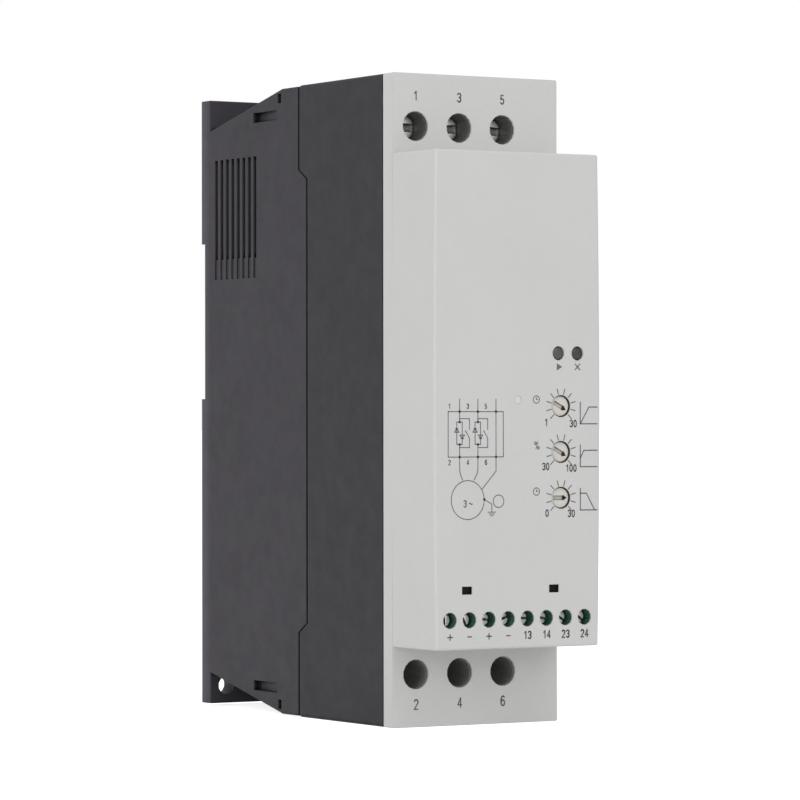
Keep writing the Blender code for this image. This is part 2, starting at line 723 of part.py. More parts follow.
def raised_outline(half_width, bow, low, high, radius):
    """Outline of (x, z) points of an upright shape whose long sides bow outward."""
    middle, reach = (low + high) / 2, (high - low) / 2 - radius
    outline = []
    for side, quarter in ((1.0, 0), (-1.0, 2)):
        for step in range(1, RAISED_BOW_STEPS):
            share = side * (2.0 * step / RAISED_BOW_STEPS - 1.0)
            outline.append((side * (half_width + bow * (1.0 - share ** 2)),
                            middle + share * reach))
        x, z = side * (half_width - radius), middle + side * reach
        outline += corner_arc(x, z, radius, quarter)
        outline += corner_arc(-x, z, radius, quarter + 1)
    return outline


def add_raised_block(bm):
    """Lofts the raised front from a straight foot to a face with bowed long sides."""
    low, high = both_ends(RAISED_MARGIN)
    foot = raised_outline(BODY_WIDTH / 2, 0.0, low, high, COVER_CORNER_ROUND)
    face = raised_outline(
        BODY_WIDTH / 2 - RAISED_DRAFT, RAISED_DRAFT, low, high, COVER_CORNER_ROUND)
    foot_forward = (COVER_JOINT + STEP_FACE) / 2
    foot_verts = [bm.verts.new((x, y_at(foot_forward), z)) for x, z in foot]
    face_verts = [bm.verts.new((x, y_at(BODY_DEPTH), z)) for x, z in face]
    bm.faces.new(foot_verts)
    bm.faces.new(face_verts)
    count = len(foot)
    for index in range(count):
        after = (index + 1) % count
        bm.faces.new((foot_verts[index], foot_verts[after], face_verts[after], face_verts[index]))

    def on_face_rim(edge):
        return all(abs(vert.co.y - y_at(BODY_DEPTH)) < MERGE_DISTANCE for vert in edge.verts)

    bmesh.ops.recalc_face_normals(bm, faces=bm.faces)
    bevel_edges(bm, on_face_rim, RAISED_EDGE_ROUND)


def raised_inside():
    """Half width, low and high of the hollow behind the raised front."""
    low, high = both_ends(RAISED_MARGIN + COVER_WALL)
    return BODY_WIDTH / 2 - RAISED_DRAFT - COVER_WALL, low, high


def make_cover_hole_tool():
    """Cutter of the round holes for screws, lamps and trimmers."""
    bm = bmesh.new()
    low, high = both_ends(POLE_INSET)
    step_back = COVER_JOINT - CUT_MARGIN
    for index in range(POLE_COUNT):
        for z in (low, high):
            add_round(bm, pole_x(index), z, POWER.hole_diameter, step_back,
                      STEP_FACE + CUT_MARGIN, LARGE_SIDES)
    back = BODY_DEPTH - FACE_THICKNESS - CUT_MARGIN
    front = BODY_DEPTH + CUT_MARGIN
    for index in range(control_count()):
        add_round(bm, control_x(index), CONTROL_Z, CONTROL.hole_diameter, back, front, SMALL_SIDES)
    for edge in LAMP_EDGES:
        add_round(bm, from_right(edge), LAMP_Z, LAMP_DIAMETER + CLEARANCE, back, front, SMALL_SIDES)
    for z in TRIMMER_Z:
        add_round(bm, from_right(TRIMMER_EDGE), z, TRIMMER_HOLE_DIAMETER, back, front, LARGE_SIDES)
    for x in window_places():
        add_box(bm, centred(x, WINDOW_WIDTH), (back, front), centred(WINDOW_Z, WINDOW_HEIGHT))
    return finish_object("cut_cover_holes", bm)


def collar_diameter():
    """Outer size of the terminal block's collar behind a power screw's hole."""
    return POWER.hole_diameter + 2 * BLOCK_COLLAR_WALL


def catch_size():
    """Width and height of a cover catch, which closes its window from behind."""
    return WINDOW_WIDTH + 2 * CATCH_MARGIN, WINDOW_HEIGHT + 2 * CATCH_MARGIN


def make_cover_pocket_tool():
    """Cutter of the pockets behind the holes and windows, which leave a thin lip."""
    bm = bmesh.new()
    half = raised_inside()[0]
    forward = (BODY_DEPTH - FACE_THICKNESS - CUT_MARGIN, BODY_DEPTH - THIN_LIP)
    add_box(bm, (-half, half), forward, centred(CONTROL_Z, CONTROL_RIDGE_HEIGHT + 2 * CLEARANCE))
    for x in window_places():
        add_box(bm, centred(x, catch_size()[0] + 2 * CLEARANCE), forward,
                centred(WINDOW_Z, catch_size()[1] + 2 * CLEARANCE))
    low, high = both_ends(POLE_INSET)
    for index in range(POLE_COUNT):
        for z in (low, high):
            add_round(bm, pole_x(index), z, collar_diameter() + 2 * CLEARANCE,
                      COVER_JOINT - CUT_MARGIN, STEP_FACE - HOLE_LIP, LARGE_SIDES)
    return finish_object("cut_cover_pockets", bm)


def make_control_entry_tool():
    """Cutter of the control wires' entries in the underside of the raised front."""
    bm = bmesh.new()
    forward = wire_room(CONTROL, cage_places(CONTROL, BODY_DEPTH - CONTROL_HEAD_DEPTH))
    z_range = (RAISED_MARGIN - CUT_MARGIN, RAISED_MARGIN + COVER_WALL + CUT_MARGIN)
    for index in range(control_count()):
        add_box(bm, centred(control_x(index), CONTROL_ENTRY_WIDTH), forward, z_range)
    return finish_object("cut_control_entries", bm)


def make_front_cover():
    """Light stepped front cover: a low frame with a raised front over the electronics."""
    bm = bmesh.new()
    outline = rounded_outline(BODY_WIDTH / 2, 0.0, BODY_HEIGHT, COVER_CORNER_ROUND)
    add_front_prism(bm, outline, COVER_JOINT + CLEARANCE / 2, STEP_FACE)
    cover = finish_object("front_cover", bm, "grey_cover")
    bm = bmesh.new()
    add_raised_block(bm)
    combine(cover, finish_object("add_raised_front", bm), "UNION")
    bm = bmesh.new()
    outline = rounded_outline(
        BODY_WIDTH / 2 - COVER_WALL, COVER_WALL, BODY_HEIGHT - COVER_WALL, COVER_CORNER_ROUND / 2)
    add_front_prism(bm, outline, COVER_JOINT - CUT_MARGIN, STEP_FACE - COVER_WALL)
    combine(cover, finish_object("cut_step_hollow", bm))
    half, low, high = raised_inside()
    bm = bmesh.new()
    add_box(bm, (-half, half), (COVER_JOINT - CUT_MARGIN, BODY_DEPTH - FACE_THICKNESS), (low, high))
    combine(cover, finish_object("cut_raised_hollow", bm))
    combine(cover, make_cover_pocket_tool())
    combine(cover, make_cover_hole_tool())
    combine(cover, make_control_entry_tool())
    bm = bmesh.new()
    add_round(bm, 0.0, BODY_HEIGHT / 2, GATE_DIAMETER, BODY_DEPTH - GATE_DEPTH,
              BODY_DEPTH + CUT_MARGIN, FINE_SIDES)
    combine(cover, finish_object("cut_gate_mark", bm))
    return cover


def make_power_block(name, head_depth, upper):
    """Terminal block with three open-ended chambers and a collar round each screw."""
    size = POWER
    top = head_top(head_depth)
    places = cage_places(size, top)
    block_front = STEP_FACE - COVER_WALL - CLEARANCE
    collar_front = STEP_FACE - HOLE_LIP - CLEARANCE
    back = places.cage_back - CLEARANCE - BLOCK_BACK_WALL
    end = WALL + CLEARANCE
    axis = POLE_INSET
    floor = axis + size.cage_height / 2 + CLEARANCE
    inner = min(floor + BLOCK_FLOOR, RAISED_MARGIN - CLEARANCE)

    def height(value):
        return BODY_HEIGHT - value if upper else value

    def z_range(first, second):
        return sorted((height(first), height(second)))

    half = half_inside() - CLEARANCE
    bm = bmesh.new()
    add_box(bm, (-half, half), (back, block_front), z_range(end, inner))
    block = finish_object(name, bm, "black_plastic")
    bm = bmesh.new()
    for index in range(POLE_COUNT):
        add_round(bm, pole_x(index), height(axis), collar_diameter(),
                  block_front - CUT_MARGIN, collar_front, LARGE_SIDES)
    combine(block, finish_object("add_collars_" + name, bm), "UNION")
    bm = bmesh.new()
    for index in range(POLE_COUNT):
        add_box(bm, centred(pole_x(index), size.cage_width + 2 * CLEARANCE),
                (places.cage_back - CLEARANCE, places.seat_back),
                z_range(end - CUT_MARGIN, floor))
    combine(block, finish_object("cut_chambers_" + name, bm))
    bm = bmesh.new()
    for index in range(POLE_COUNT):
        add_round(bm, pole_x(index), height(axis), size.shaft_diameter + 2 * CLEARANCE,
                  places.seat_back - CUT_MARGIN, top, SMALL_SIDES)
    combine(block, finish_object("cut_shaft_holes_" + name, bm))
    bm = bmesh.new()
    for index in range(POLE_COUNT):
        add_round(bm, pole_x(index), height(axis), size.hole_diameter - CLEARANCE,
                  top - size.head_height - CLEARANCE, collar_front + CUT_MARGIN, LARGE_SIDES)
    combine(block, finish_object("cut_screw_wells_" + name, bm))
    bm = bmesh.new()
    for index in range(POLE_COUNT):
        add_box(bm, centred(pole_x(index), size.bar_width + 2 * CLEARANCE),
                (places.bar_back - CLEARANCE, places.bar_front + CLEARANCE),
                z_range(floor - CUT_MARGIN, inner + CUT_MARGIN))
    combine(block, finish_object("cut_bar_slots_" + name, bm))
    return block


def make_control_block():
    """Green control terminal block, with a contact bar in each chamber."""
    size = CONTROL
    top = BODY_DEPTH - CONTROL_HEAD_DEPTH
    places = cage_places(size, top)
    front = BODY_DEPTH - FACE_THICKNESS - CLEARANCE
    ridge_front = BODY_DEPTH - THIN_LIP - CLEARANCE
    inside, raised_low, _ = raised_inside()
    half, low = inside - CLEARANCE, raised_low + CLEARANCE
    ceiling = CONTROL_Z + size.cage_height / 2 + CLEARANCE
    bm = bmesh.new()
    add_box(bm, (-half, half), (CONTROL_BOARD_FRONT + CLEARANCE, front),
            (low, ceiling + CONTROL_BLOCK_ROOF))
    block = finish_object("control_terminal_block", bm, "terminal_green")
    bm = bmesh.new()
    add_box(bm, (-half, half), (front - CUT_MARGIN, ridge_front),
            centred(CONTROL_Z, CONTROL_RIDGE_HEIGHT))
    combine(block, finish_object("add_control_ridge", bm), "UNION")
    chambers, holes, wells, bars = bmesh.new(), bmesh.new(), bmesh.new(), bmesh.new()
    for index in range(control_count()):
        x = control_x(index)
        add_box(chambers, centred(x, size.cage_width + 2 * CLEARANCE),
                (places.cage_back - CLEARANCE, places.seat_back), (low - CUT_MARGIN, ceiling))
        add_round(holes, x, CONTROL_Z, size.shaft_diameter + 2 * CLEARANCE,
                  places.seat_back - CUT_MARGIN, top, FINE_SIDES)
        add_round(wells, x, CONTROL_Z, size.hole_diameter,
                  top - size.head_height - CLEARANCE, ridge_front + CUT_MARGIN, SMALL_SIDES)
        add_box(bars, centred(x, size.bar_width), (places.bar_back, places.bar_front),
                (CONTROL_Z - size.cage_height / 2, ceiling + CUT_MARGIN))
    combine(block, finish_object("cut_control_chambers", chambers))
    combine(block, finish_object("cut_control_shaft_holes", holes))
    combine(block, finish_object("cut_control_wells", wells))
    combine(block, finish_object("add_contact_bars", bars), "UNION")
    return block


def make_catches():
    """Dark catches on the control board, seen through the cover's two windows."""
    width, height = catch_size()
    forward = (CONTROL_BOARD_FRONT + CLEARANCE, BODY_DEPTH - THIN_LIP - CLEARANCE)
    for index, x in enumerate(window_places()):
        bm = bmesh.new()
        add_box(bm, centred(x, width), forward, centred(WINDOW_Z, height))
        finish_object("cover_catch_" + str(index + 1), bm, "black_plastic")


def make_screw(name, size, x, z, top, angle, crossed):
    """Captive terminal screw with a slotted head, turned to an angle about its axis."""
    seat = top - size.head_height
    tip = cage_places(size, top).bar_front + CLEARANCE
    head, shaft = size.head_diameter / 2, size.shaft_diameter / 2
    chamfer = size.chamfer
    profile = [
        (0.0, top), (head - chamfer, top), (head, top - chamfer), (head, seat), (shaft, seat),
        (shaft, tip + chamfer), (shaft - chamfer, tip), (0.0, tip)]
    bm = bmesh.new()
    add_turned(bm, x, z, profile, size.sides)
    screw = finish_object(name, bm, "nickel", (x, y_at(top), z), smooth=True)
    screw.rotation_euler = (0.0, math.radians(angle), 0.0)

    def add_slot(tool_name, width, length, turn):
        bm_slot = bmesh.new()
        forward = (ORIGIN_FORWARD - size.slot_depth, ORIGIN_FORWARD + CUT_MARGIN)
        add_box(bm_slot, centred(0.0, length), forward, centred(0.0, width))
        tool = finish_object(tool_name, bm_slot)
        tool.location = (x, y_at(top), z)
        tool.rotation_euler = (0.0, math.radians(angle + turn), 0.0)
        combine(screw, tool)

    add_slot("cut_slot_" + name, size.slot_width, size.head_diameter + CUT_MARGIN, 0.0)
    if crossed:
        add_slot("cut_cross_" + name, size.slot_width, CROSS_RECESS_WIDTH, 90.0)
    return screw


def make_cage(name, size, x, z, top, finish):
    """Clamp cage round a terminal's bar, open upward for the wire, in its open place."""
    places = cage_places(size, top)
    back, front = places.cage_back, places.cage_front
    middle = (front + back) / 2
    bm = bmesh.new()
    add_box(bm, centred(x, size.cage_width), (back, front), centred(z, size.cage_height))
    cage = finish_object(name, bm, finish, (x, y_at(middle), z))
    bm = bmesh.new()
    add_box(bm, centred(x, size.cage_width - 2 * size.cage_plate),
            (back + size.cage_plate, front - size.cage_plate),
            centred(z, size.cage_height + 2 * CUT_MARGIN))
    combine(cage, finish_object("cut_window_" + name, bm))
    bm = bmesh.new()
    add_round(bm, x, z, size.shaft_diameter + 2 * CLEARANCE,
              front - size.cage_plate - CLEARANCE, front + CUT_MARGIN, FINE_SIDES)
    combine(cage, finish_object("cut_thread_" + name, bm))
    return cage


def make_power_terminals():
    """Screws and cages of the line side at the top and the load side at the bottom."""
    low, high = both_ends(POLE_INSET)
    sides = (
        ("line", high, LINE_HEAD_DEPTH, LINE_SCREW_ANGLES),
        ("load", low, LOAD_HEAD_DEPTH, LOAD_SCREW_ANGLES))
    for side, z, head_depth, angles in sides:
        for index in range(POLE_COUNT):
            number = str(index + 1)
            top = head_top(head_depth)
            make_screw(side + "_screw_" + number, POWER, pole_x(index), z, top,
                       angles[index % len(angles)], True)
            make_cage(side + "_clamp_" + number, POWER, pole_x(index), z, top, "zinc")


def make_control_terminals():
    """Screws and cages of the control terminals."""
    top = BODY_DEPTH - CONTROL_HEAD_DEPTH
    for index in range(control_count()):
        number = str(index + 1)
        angle = CONTROL_SCREW_ANGLES[index % len(CONTROL_SCREW_ANGLES)]
        make_screw("control_screw_" + number, CONTROL, control_x(index), CONTROL_Z, top,
                   angle, False)
        make_cage("control_clamp_" + number, CONTROL, control_x(index), CONTROL_Z, top, "zinc")


def sink_places():
    """Forward places of the heat sink: fin ends, base back and base front."""
    fin_end = BACK_WALL + CLEARANCE
    base_back = fin_end + SINK_FIN_LENGTH
    return fin_end, base_back, base_back + SINK_BASE_THICKNESS


def make_heat_sink():
    """Extruded comb of fins that run from the lower grille to the upper one."""
    fin_end, base_back, base_front = sink_places()
    half = half_through_tongue()
    low, high = both_ends(SINK_INSET)
    pitch = (2 * half - SINK_FIN_THICKNESS) / (SINK_FIN_COUNT - 1)
    outline = [(half, base_front), (-half, base_front)]
    for index in range(SINK_FIN_COUNT):
        left = -half + index * pitch
        right = left + SINK_FIN_THICKNESS
        outline += [(left, base_back), (left, fin_end), (right, fin_end), (right, base_back)]
    bm = bmesh.new()
    add_plan_prism(bm, outline[:2] + outline[3:-1], low, high)
    return finish_object("heat_sink", bm, "aluminium")


def make_modules():
    """Two thyristor modules, each on a foot that lies on the heat sink's base."""
    back = sink_places()[2] + CLEARANCE
    middle = BODY_HEIGHT / 2
    for index, (low_x, high_x) in enumerate(side_by_side(MODULE_GAP)):
        bm = bmesh.new()
        half_foot = MODULE_HEIGHT / 2
        half_top = half_foot - MODULE_FOOT
        step = back + MODULE_FOOT_THICKNESS
        outline = [
            (back, middle - half_foot), (step, middle - half_foot), (step, middle - half_top),
            (back + MODULE_THICKNESS, middle - half_top),
            (back + MODULE_THICKNESS, middle + half_top), (step, middle + half_top),
            (step, middle + half_foot), (back, middle + half_foot)]
        add_side_prism(bm, outline, low_x, high_x)
        finish_object("thyristor_module_" + str(index + 1), bm, "module_epoxy")


def power_board_places():
    """Forward places of the power board's back and front."""
    back = sink_places()[2] + 2 * CLEARANCE + MODULE_THICKNESS
    return back, back + BOARD_THICKNESS


def make_boards():
    """Power board over the modules, and control board behind the raised front."""
    back, front = power_board_places()
    half = half_through_tongue()
    bm = bmesh.new()
    add_box(bm, (-half, half), (back, front), centred(BODY_HEIGHT / 2, POWER_BOARD_HEIGHT))
    finish_object("power_board", bm, "board_green")
    inside, low, high = raised_inside()
    bm = bmesh.new()
    add_box(bm, (CLEARANCE - inside, inside - CLEARANCE),
            (CONTROL_BOARD_BACK, CONTROL_BOARD_FRONT),
            (low + CLEARANCE, high - CLEARANCE))
    finish_object("control_board", bm, "board_green")


def make_relays():
    """Two bypass relays on the power board, one for each switched phase."""
    back = power_board_places()[1] + CLEARANCE
    for index, x_range in enumerate(side_by_side(RELAY_GAP)):
        bm = bmesh.new()
        add_box(bm, x_range, (back, back + RELAY_THICKNESS),
                centred(BODY_HEIGHT / 2, RELAY_HEIGHT))

        def not_on_board(edge):
            return any(abs(vert.co.y - y_at(back)) > MERGE_DISTANCE for vert in edge.verts)

        bevel_edges(bm, not_on_board, RELAY_ROUND, 1)
        finish_object("bypass_relay_" + str(index + 1), bm, "relay_black")


def add_bar(bm, x, path):
    """Adds a flat copper bar along (forward, z) points, with its thickness to the rear."""
    low_x, high_x = centred(x, POWER.bar_width)
    add_side_prism(bm, path, low_x, high_x)


def make_bars():
    """Copper bars from the terminals to the power board, and one straight through."""
    board = power_board_places()[1] + CLEARANCE
    thick = POWER.bar_thickness
    line = cage_places(POWER, head_top(LINE_HEAD_DEPTH))
    load = cage_places(POWER, head_top(LOAD_HEAD_DEPTH))
    reach = POLE_INSET - POWER.cage_height / 2
    turn = POLE_INSET + POWER.cage_height / 2 + BAR_DROP
    for index in range(POLE_COUNT - 1):
        for side, places, upper in (("line", line, True), ("load", load, False)):
            outline = [
                (places.bar_front, reach), (places.bar_front, turn + thick),
                (board, turn + thick), (board, turn), (places.bar_back, turn),
                (places.bar_back, reach)]
            bm = bmesh.new()
            add_bar(bm, pole_x(index), mirrored(outline) if upper else outline)
            finish_object(side + "_busbar_" + str(index + 1), bm, "copper")
    outline = [
        (line.bar_front, BODY_HEIGHT - reach), (line.bar_front, turn), (load.bar_front, turn),
        (load.bar_front, reach), (load.bar_back, reach), (load.bar_back, turn + thick),
        (line.bar_back, turn + thick), (line.bar_back, BODY_HEIGHT - reach)]
    bm = bmesh.new()
    add_bar(bm, pole_x(POLE_COUNT - 1), outline)
    finish_object("through_busbar", bm, "copper")


def make_lamps():
    """Indicator lamps: domed light guides from the board to the face."""
    back = CONTROL_BOARD_FRONT + CLEARANCE
    radius = LAMP_DIAMETER / 2
    front = BODY_DEPTH - LAMP_SUNK
    flange_front = back + LAMP_FLANGE_HEIGHT
    profile = [
        (0.0, back), (LAMP_FLANGE / 2, back), (LAMP_FLANGE / 2, flange_front),
        (radius, flange_front)]
    for step in range(CORNER_STEPS + 1):
        angle = QUARTER_TURN * step / CORNER_STEPS
        profile.append((radius * math.cos(angle), front - LAMP_DOME * (1 - math.sin(angle))))
    for name, edge in zip(("run_lamp", "error_lamp"), LAMP_EDGES):
        x = from_right(edge)
        bm = bmesh.new()
        add_turned(bm, x, LAMP_Z, profile, SMALL_SIDES)
        finish_object(name, bm, "lamp_dark", (x, y_at(front), LAMP_Z), smooth=True)


def trimmer_places():
    """Forward places of a trimmer: body back, body front, head back and head front."""
    back = CONTROL_BOARD_FRONT + CLEARANCE
    head_front = BODY_DEPTH - TRIMMER_SUNK
    return back, back + TRIMMER_BODY_HEIGHT, head_front - TRIMMER_HEAD_HEIGHT, head_front


def make_trimmer_body(number, z):
    """Trimmer housing on the control board, with a well for the rotor's shaft."""
    back, front = trimmer_places()[:2]
    x = from_right(TRIMMER_EDGE)
    bm = bmesh.new()
    add_box(bm, centred(x, TRIMMER_BODY_SIZE), (back, front),
            centred(z, TRIMMER_BODY_SIZE))
    body = finish_object("trimmer_body_" + number, bm, "trimmer_blue")
    bm = bmesh.new()
    add_round(bm, x, z, TRIMMER_SHAFT + 2 * CLEARANCE,
              front - TRIMMER_BODY_HEIGHT / 2, front + CUT_MARGIN, SMALL_SIDES)
    combine(body, finish_object("cut_shaft_well_" + number, bm))


def make_trimmer_rotor(number, z, angle):
    """Trimmer rotor with an arrow-shaped pointer slot, set to its clockwise angle."""
    _, body_front, head_back, head_front = trimmer_places()
    x = from_right(TRIMMER_EDGE)
    radius, shaft = TRIMMER_DIAMETER / 2, TRIMMER_SHAFT / 2
    shaft_end = body_front - TRIMMER_BODY_HEIGHT / 2 + CLEARANCE
    profile = [
        (0.0, head_front), (radius - TRIMMER_CHAMFER, head_front),
        (radius, head_front - TRIMMER_CHAMFER),
        (radius, head_back), (shaft, head_back), (shaft, shaft_end), (0.0, shaft_end)]
    bm = bmesh.new()
    add_turned(bm, x, z, profile, LARGE_SIDES)
    rotor = finish_object(
        "trimmer_rotor_" + number, bm, "trimmer_ivory", (x, y_at(head_front), z), smooth=True)
    reach = radius - POINTER_MARGIN
    half, wide = POINTER_WIDTH / 2, POINTER_HEAD / 2
    neck = reach - POINTER_HEAD_LENGTH
    outline = [
        (-half, -reach), (half, -reach), (half, neck), (wide, neck), (0.0, reach),
        (-wide, neck), (-half, neck)]
    bm = bmesh.new()
    add_front_prism(bm, outline, ORIGIN_FORWARD - POINTER_DEPTH, ORIGIN_FORWARD + CUT_MARGIN)
    tool = finish_object("cut_pointer_" + number, bm)
    tool.location = (x, y_at(head_front), z)
    tool.rotation_euler = (0.0, math.radians(angle), 0.0)
    combine(rotor, tool)


def make_trimmers():
    """Three setting trimmers, one above the other."""
    for index, z in enumerate(TRIMMER_Z):
        make_trimmer_body(str(index + 1), z)
        make_trimmer_rotor(str(index + 1), z, TRIMMER_POINTER[index])


def latch_range():
    """Low and high of the rail latch at rest, hooked behind the rail's lower edge."""
    rail_low = NOTCH_LOW + NOTCH_HEIGHT - RAIL_PLAY - RAIL_WIDTH
    return LATCH_FOOT_INSET + PLATE_INSET, rail_low + RAIL_HOOK_OVERLAP


def make_latch():
    """Sliding rail latch with a nose, a spring pocket and an eye for a screwdriver."""
    low, high = latch_range()
    half, mouth = LATCH_WIDTH / 2 - CLEARANCE, LATCH_MOUTH_WIDTH / 2 - CLEARANCE
    plan = [
        (-mouth, CLEARANCE / 2), (mouth, CLEARANCE / 2), (mouth, LATCH_MOUTH_DEPTH + CLEARANCE),
        (half, LATCH_MOUTH_DEPTH + CLEARANCE), (half, LATCH_DEPTH - CLEARANCE),
        (-half, LATCH_DEPTH - CLEARANCE), (-half, LATCH_MOUTH_DEPTH + CLEARANCE),
        (-mouth, LATCH_MOUTH_DEPTH + CLEARANCE)]
    shoulder = NOTCH_LOW - CLEARANCE
    bm = bmesh.new()
    add_plan_prism(bm, plan, low, shoulder)
    latch = finish_object("rail_latch", bm, "black_plastic", (0.0, y_at(0.0), low))
    bm = bmesh.new()
    foot = shoulder - RAIL_HOOK_OVERLAP
    slant = RAIL_LIP_THICKNESS - LATCH_NOSE_TIP
    nose = [
        (CLEARANCE / 2, foot), (RAIL_LIP_THICKNESS, foot), (RAIL_LIP_THICKNESS, high),
        (slant, high), (CLEARANCE / 2, high - slant)]
    add_side_prism(bm, nose, -mouth, mouth)
    combine(latch, finish_object("add_latch_nose", bm), "UNION")
    bm = bmesh.new()
    pocket_low = spring_stop_range()[0] - CLEARANCE
    add_box(bm, centred(0.0, LATCH_POCKET_WIDTH), (-CUT_MARGIN, LATCH_DEPTH + CUT_MARGIN),
            (pocket_low, LATCH_POCKET_HIGH))
    eye_low = low + LATCH_EYE_HEIGHT
    add_box(bm, centred(0.0, LATCH_EYE_WIDTH), (-CUT_MARGIN, LATCH_DEPTH + CUT_MARGIN),
            (eye_low, eye_low + LATCH_EYE_HEIGHT))
    combine(latch, finish_object("cut_latch_windows", bm))
    return latch


def make_spring():
    """Compression spring in the latch's pocket, pressing the latch up to the rail."""
    high = LATCH_POCKET_HIGH - CLEARANCE - SPRING_WIRE / 2
    low = LATCH_POCKET_HIGH - SPRING_LENGTH - CLEARANCE + SPRING_WIRE / 2
    radius = (SPRING_DIAMETER - SPRING_WIRE) / 2
    centre_y = y_at(LATCH_DEPTH - SPRING_DIAMETER / 2 - CLEARANCE)
    count = SPRING_TURNS * SPRING_STEPS
    curve = bpy.data.curves.new("latch_spring", "CURVE")
    curve.dimensions = "3D"
    curve.bevel_depth = SPRING_WIRE / 2
    curve.bevel_resolution = 1
    curve.use_fill_caps = True
    spline = curve.splines.new("POLY")
    spline.points.add(count)
    for step in range(count + 1):
        angle = 2 * math.pi * step / SPRING_STEPS
        height = low + (high - low) * step / count
        spline.points[step].co = (
            radius * math.cos(angle), centre_y + radius * math.sin(angle), height, 1.0)
    spring = bpy.data.objects.new("latch_spring", curve)
    curve.materials.append(make_material("latch_spring", "spring_steel"))
    bpy.context.scene.collection.objects.link(spring)
    return spring


def main():
    """Builds every piece of the device."""
    clear_scene()
    make_rear_housing()
    make_front_housing()
    make_front_cover()
    make_power_block("line_terminal_block", LINE_HEAD_DEPTH, True)
    make_power_block("load_terminal_block", LOAD_HEAD_DEPTH, False)
    make_control_block()
    make_catches()
    make_power_terminals()
    make_control_terminals()
    make_heat_sink()
    make_modules()
    make_boards()
    make_relays()
    make_bars()
    make_lamps()
    make_trimmers()
    make_latch()
    make_spring()


main()
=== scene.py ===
"""Studio scene of a slim motor soft starter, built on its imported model.

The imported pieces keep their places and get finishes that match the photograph. Screws,
trimmer rotors, lamp lenses and the print on the cover are modelled here.
"""
from __future__ import annotations

import logging
import math
from dataclasses import dataclass, field
from enum import Enum
from typing import Callable, Sequence

import bpy
from mathutils import Matrix, Vector

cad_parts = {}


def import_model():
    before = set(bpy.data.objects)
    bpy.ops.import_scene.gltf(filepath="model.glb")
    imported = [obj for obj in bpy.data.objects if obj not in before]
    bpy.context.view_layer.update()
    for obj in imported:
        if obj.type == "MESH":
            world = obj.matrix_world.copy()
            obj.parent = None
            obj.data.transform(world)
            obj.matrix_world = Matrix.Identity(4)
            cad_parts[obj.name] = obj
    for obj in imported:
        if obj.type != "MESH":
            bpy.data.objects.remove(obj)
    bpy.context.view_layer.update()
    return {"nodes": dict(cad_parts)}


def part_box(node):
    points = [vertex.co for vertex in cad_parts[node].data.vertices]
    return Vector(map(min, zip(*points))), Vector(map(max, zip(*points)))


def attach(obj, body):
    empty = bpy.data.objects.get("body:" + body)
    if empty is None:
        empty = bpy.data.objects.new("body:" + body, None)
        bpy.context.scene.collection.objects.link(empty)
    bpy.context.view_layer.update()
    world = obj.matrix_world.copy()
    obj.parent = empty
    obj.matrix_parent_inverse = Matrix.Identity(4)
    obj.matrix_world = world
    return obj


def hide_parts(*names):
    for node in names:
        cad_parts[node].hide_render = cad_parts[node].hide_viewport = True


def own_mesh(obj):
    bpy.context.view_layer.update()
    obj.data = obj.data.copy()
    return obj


LOG = logging.getLogger("soft_starter")
MM = 0.001
Colour = tuple[float, float, float]
Point = tuple[float, float]
# Near-black colour of the painted shade in crevices.
CREVICE_SHADE: Colour = (0.00775, 0.00775, 0.00775)
SMOOTH_ANGLE = math.radians(40.0)
WELD_DISTANCE = 0.002 * MM
TOUCH = 0.0001 * MM


def numbered(stem: str, count: int) -> tuple[str, ...]:
    """Names made of a stem and a number from one."""
    return tuple("%s_%d" % (stem, index + 1) for index in range(count))


def linear_colour(colour: Colour) -> tuple[float, float, float, float]:
    """Turn an sRGB colour into the linear one that shaders take.

    Args:
        colour: Red, green and blue from 0 to 1 as seen on a screen.

    Returns:
        The linear colour with an alpha of one.
    """
    channels = [
        value / 12.92 if value <= 0.04045 else ((value + 0.055) / 1.055) ** 2.4
        for value in colour]
    return (channels[0], channels[1], channels[2], 1.0)


def shade(colour: Colour, factor: float) -> Colour:
    """Return the colour made lighter or darker by a factor, kept within range."""
    return (min(colour[0] * factor, 1.0), min(colour[1] * factor, 1.0),
            min(colour[2] * factor, 1.0))


def background_rays(tree: bpy.types.NodeTree) -> bpy.types.NodeSocket:
    """Tell the rays that show the background from those that light the object.

    Args:
        tree: Node tree of a material or a world.

    Returns:
        A value of one for camera, glossy and transmission rays, and zero for others.
    """
    path = tree.nodes.new("ShaderNodeLightPath")
    seen = path.outputs["Is Camera Ray"]
    for kind in ("Is Glossy Ray", "Is Transmission Ray"):
        either = tree.nodes.new("ShaderNodeMath")
        either.operation = "MAXIMUM"
        tree.links.new(seen, either.inputs[0])
        tree.links.new(path.outputs[kind], either.inputs[1])
        seen = either.outputs[0]
    return seen


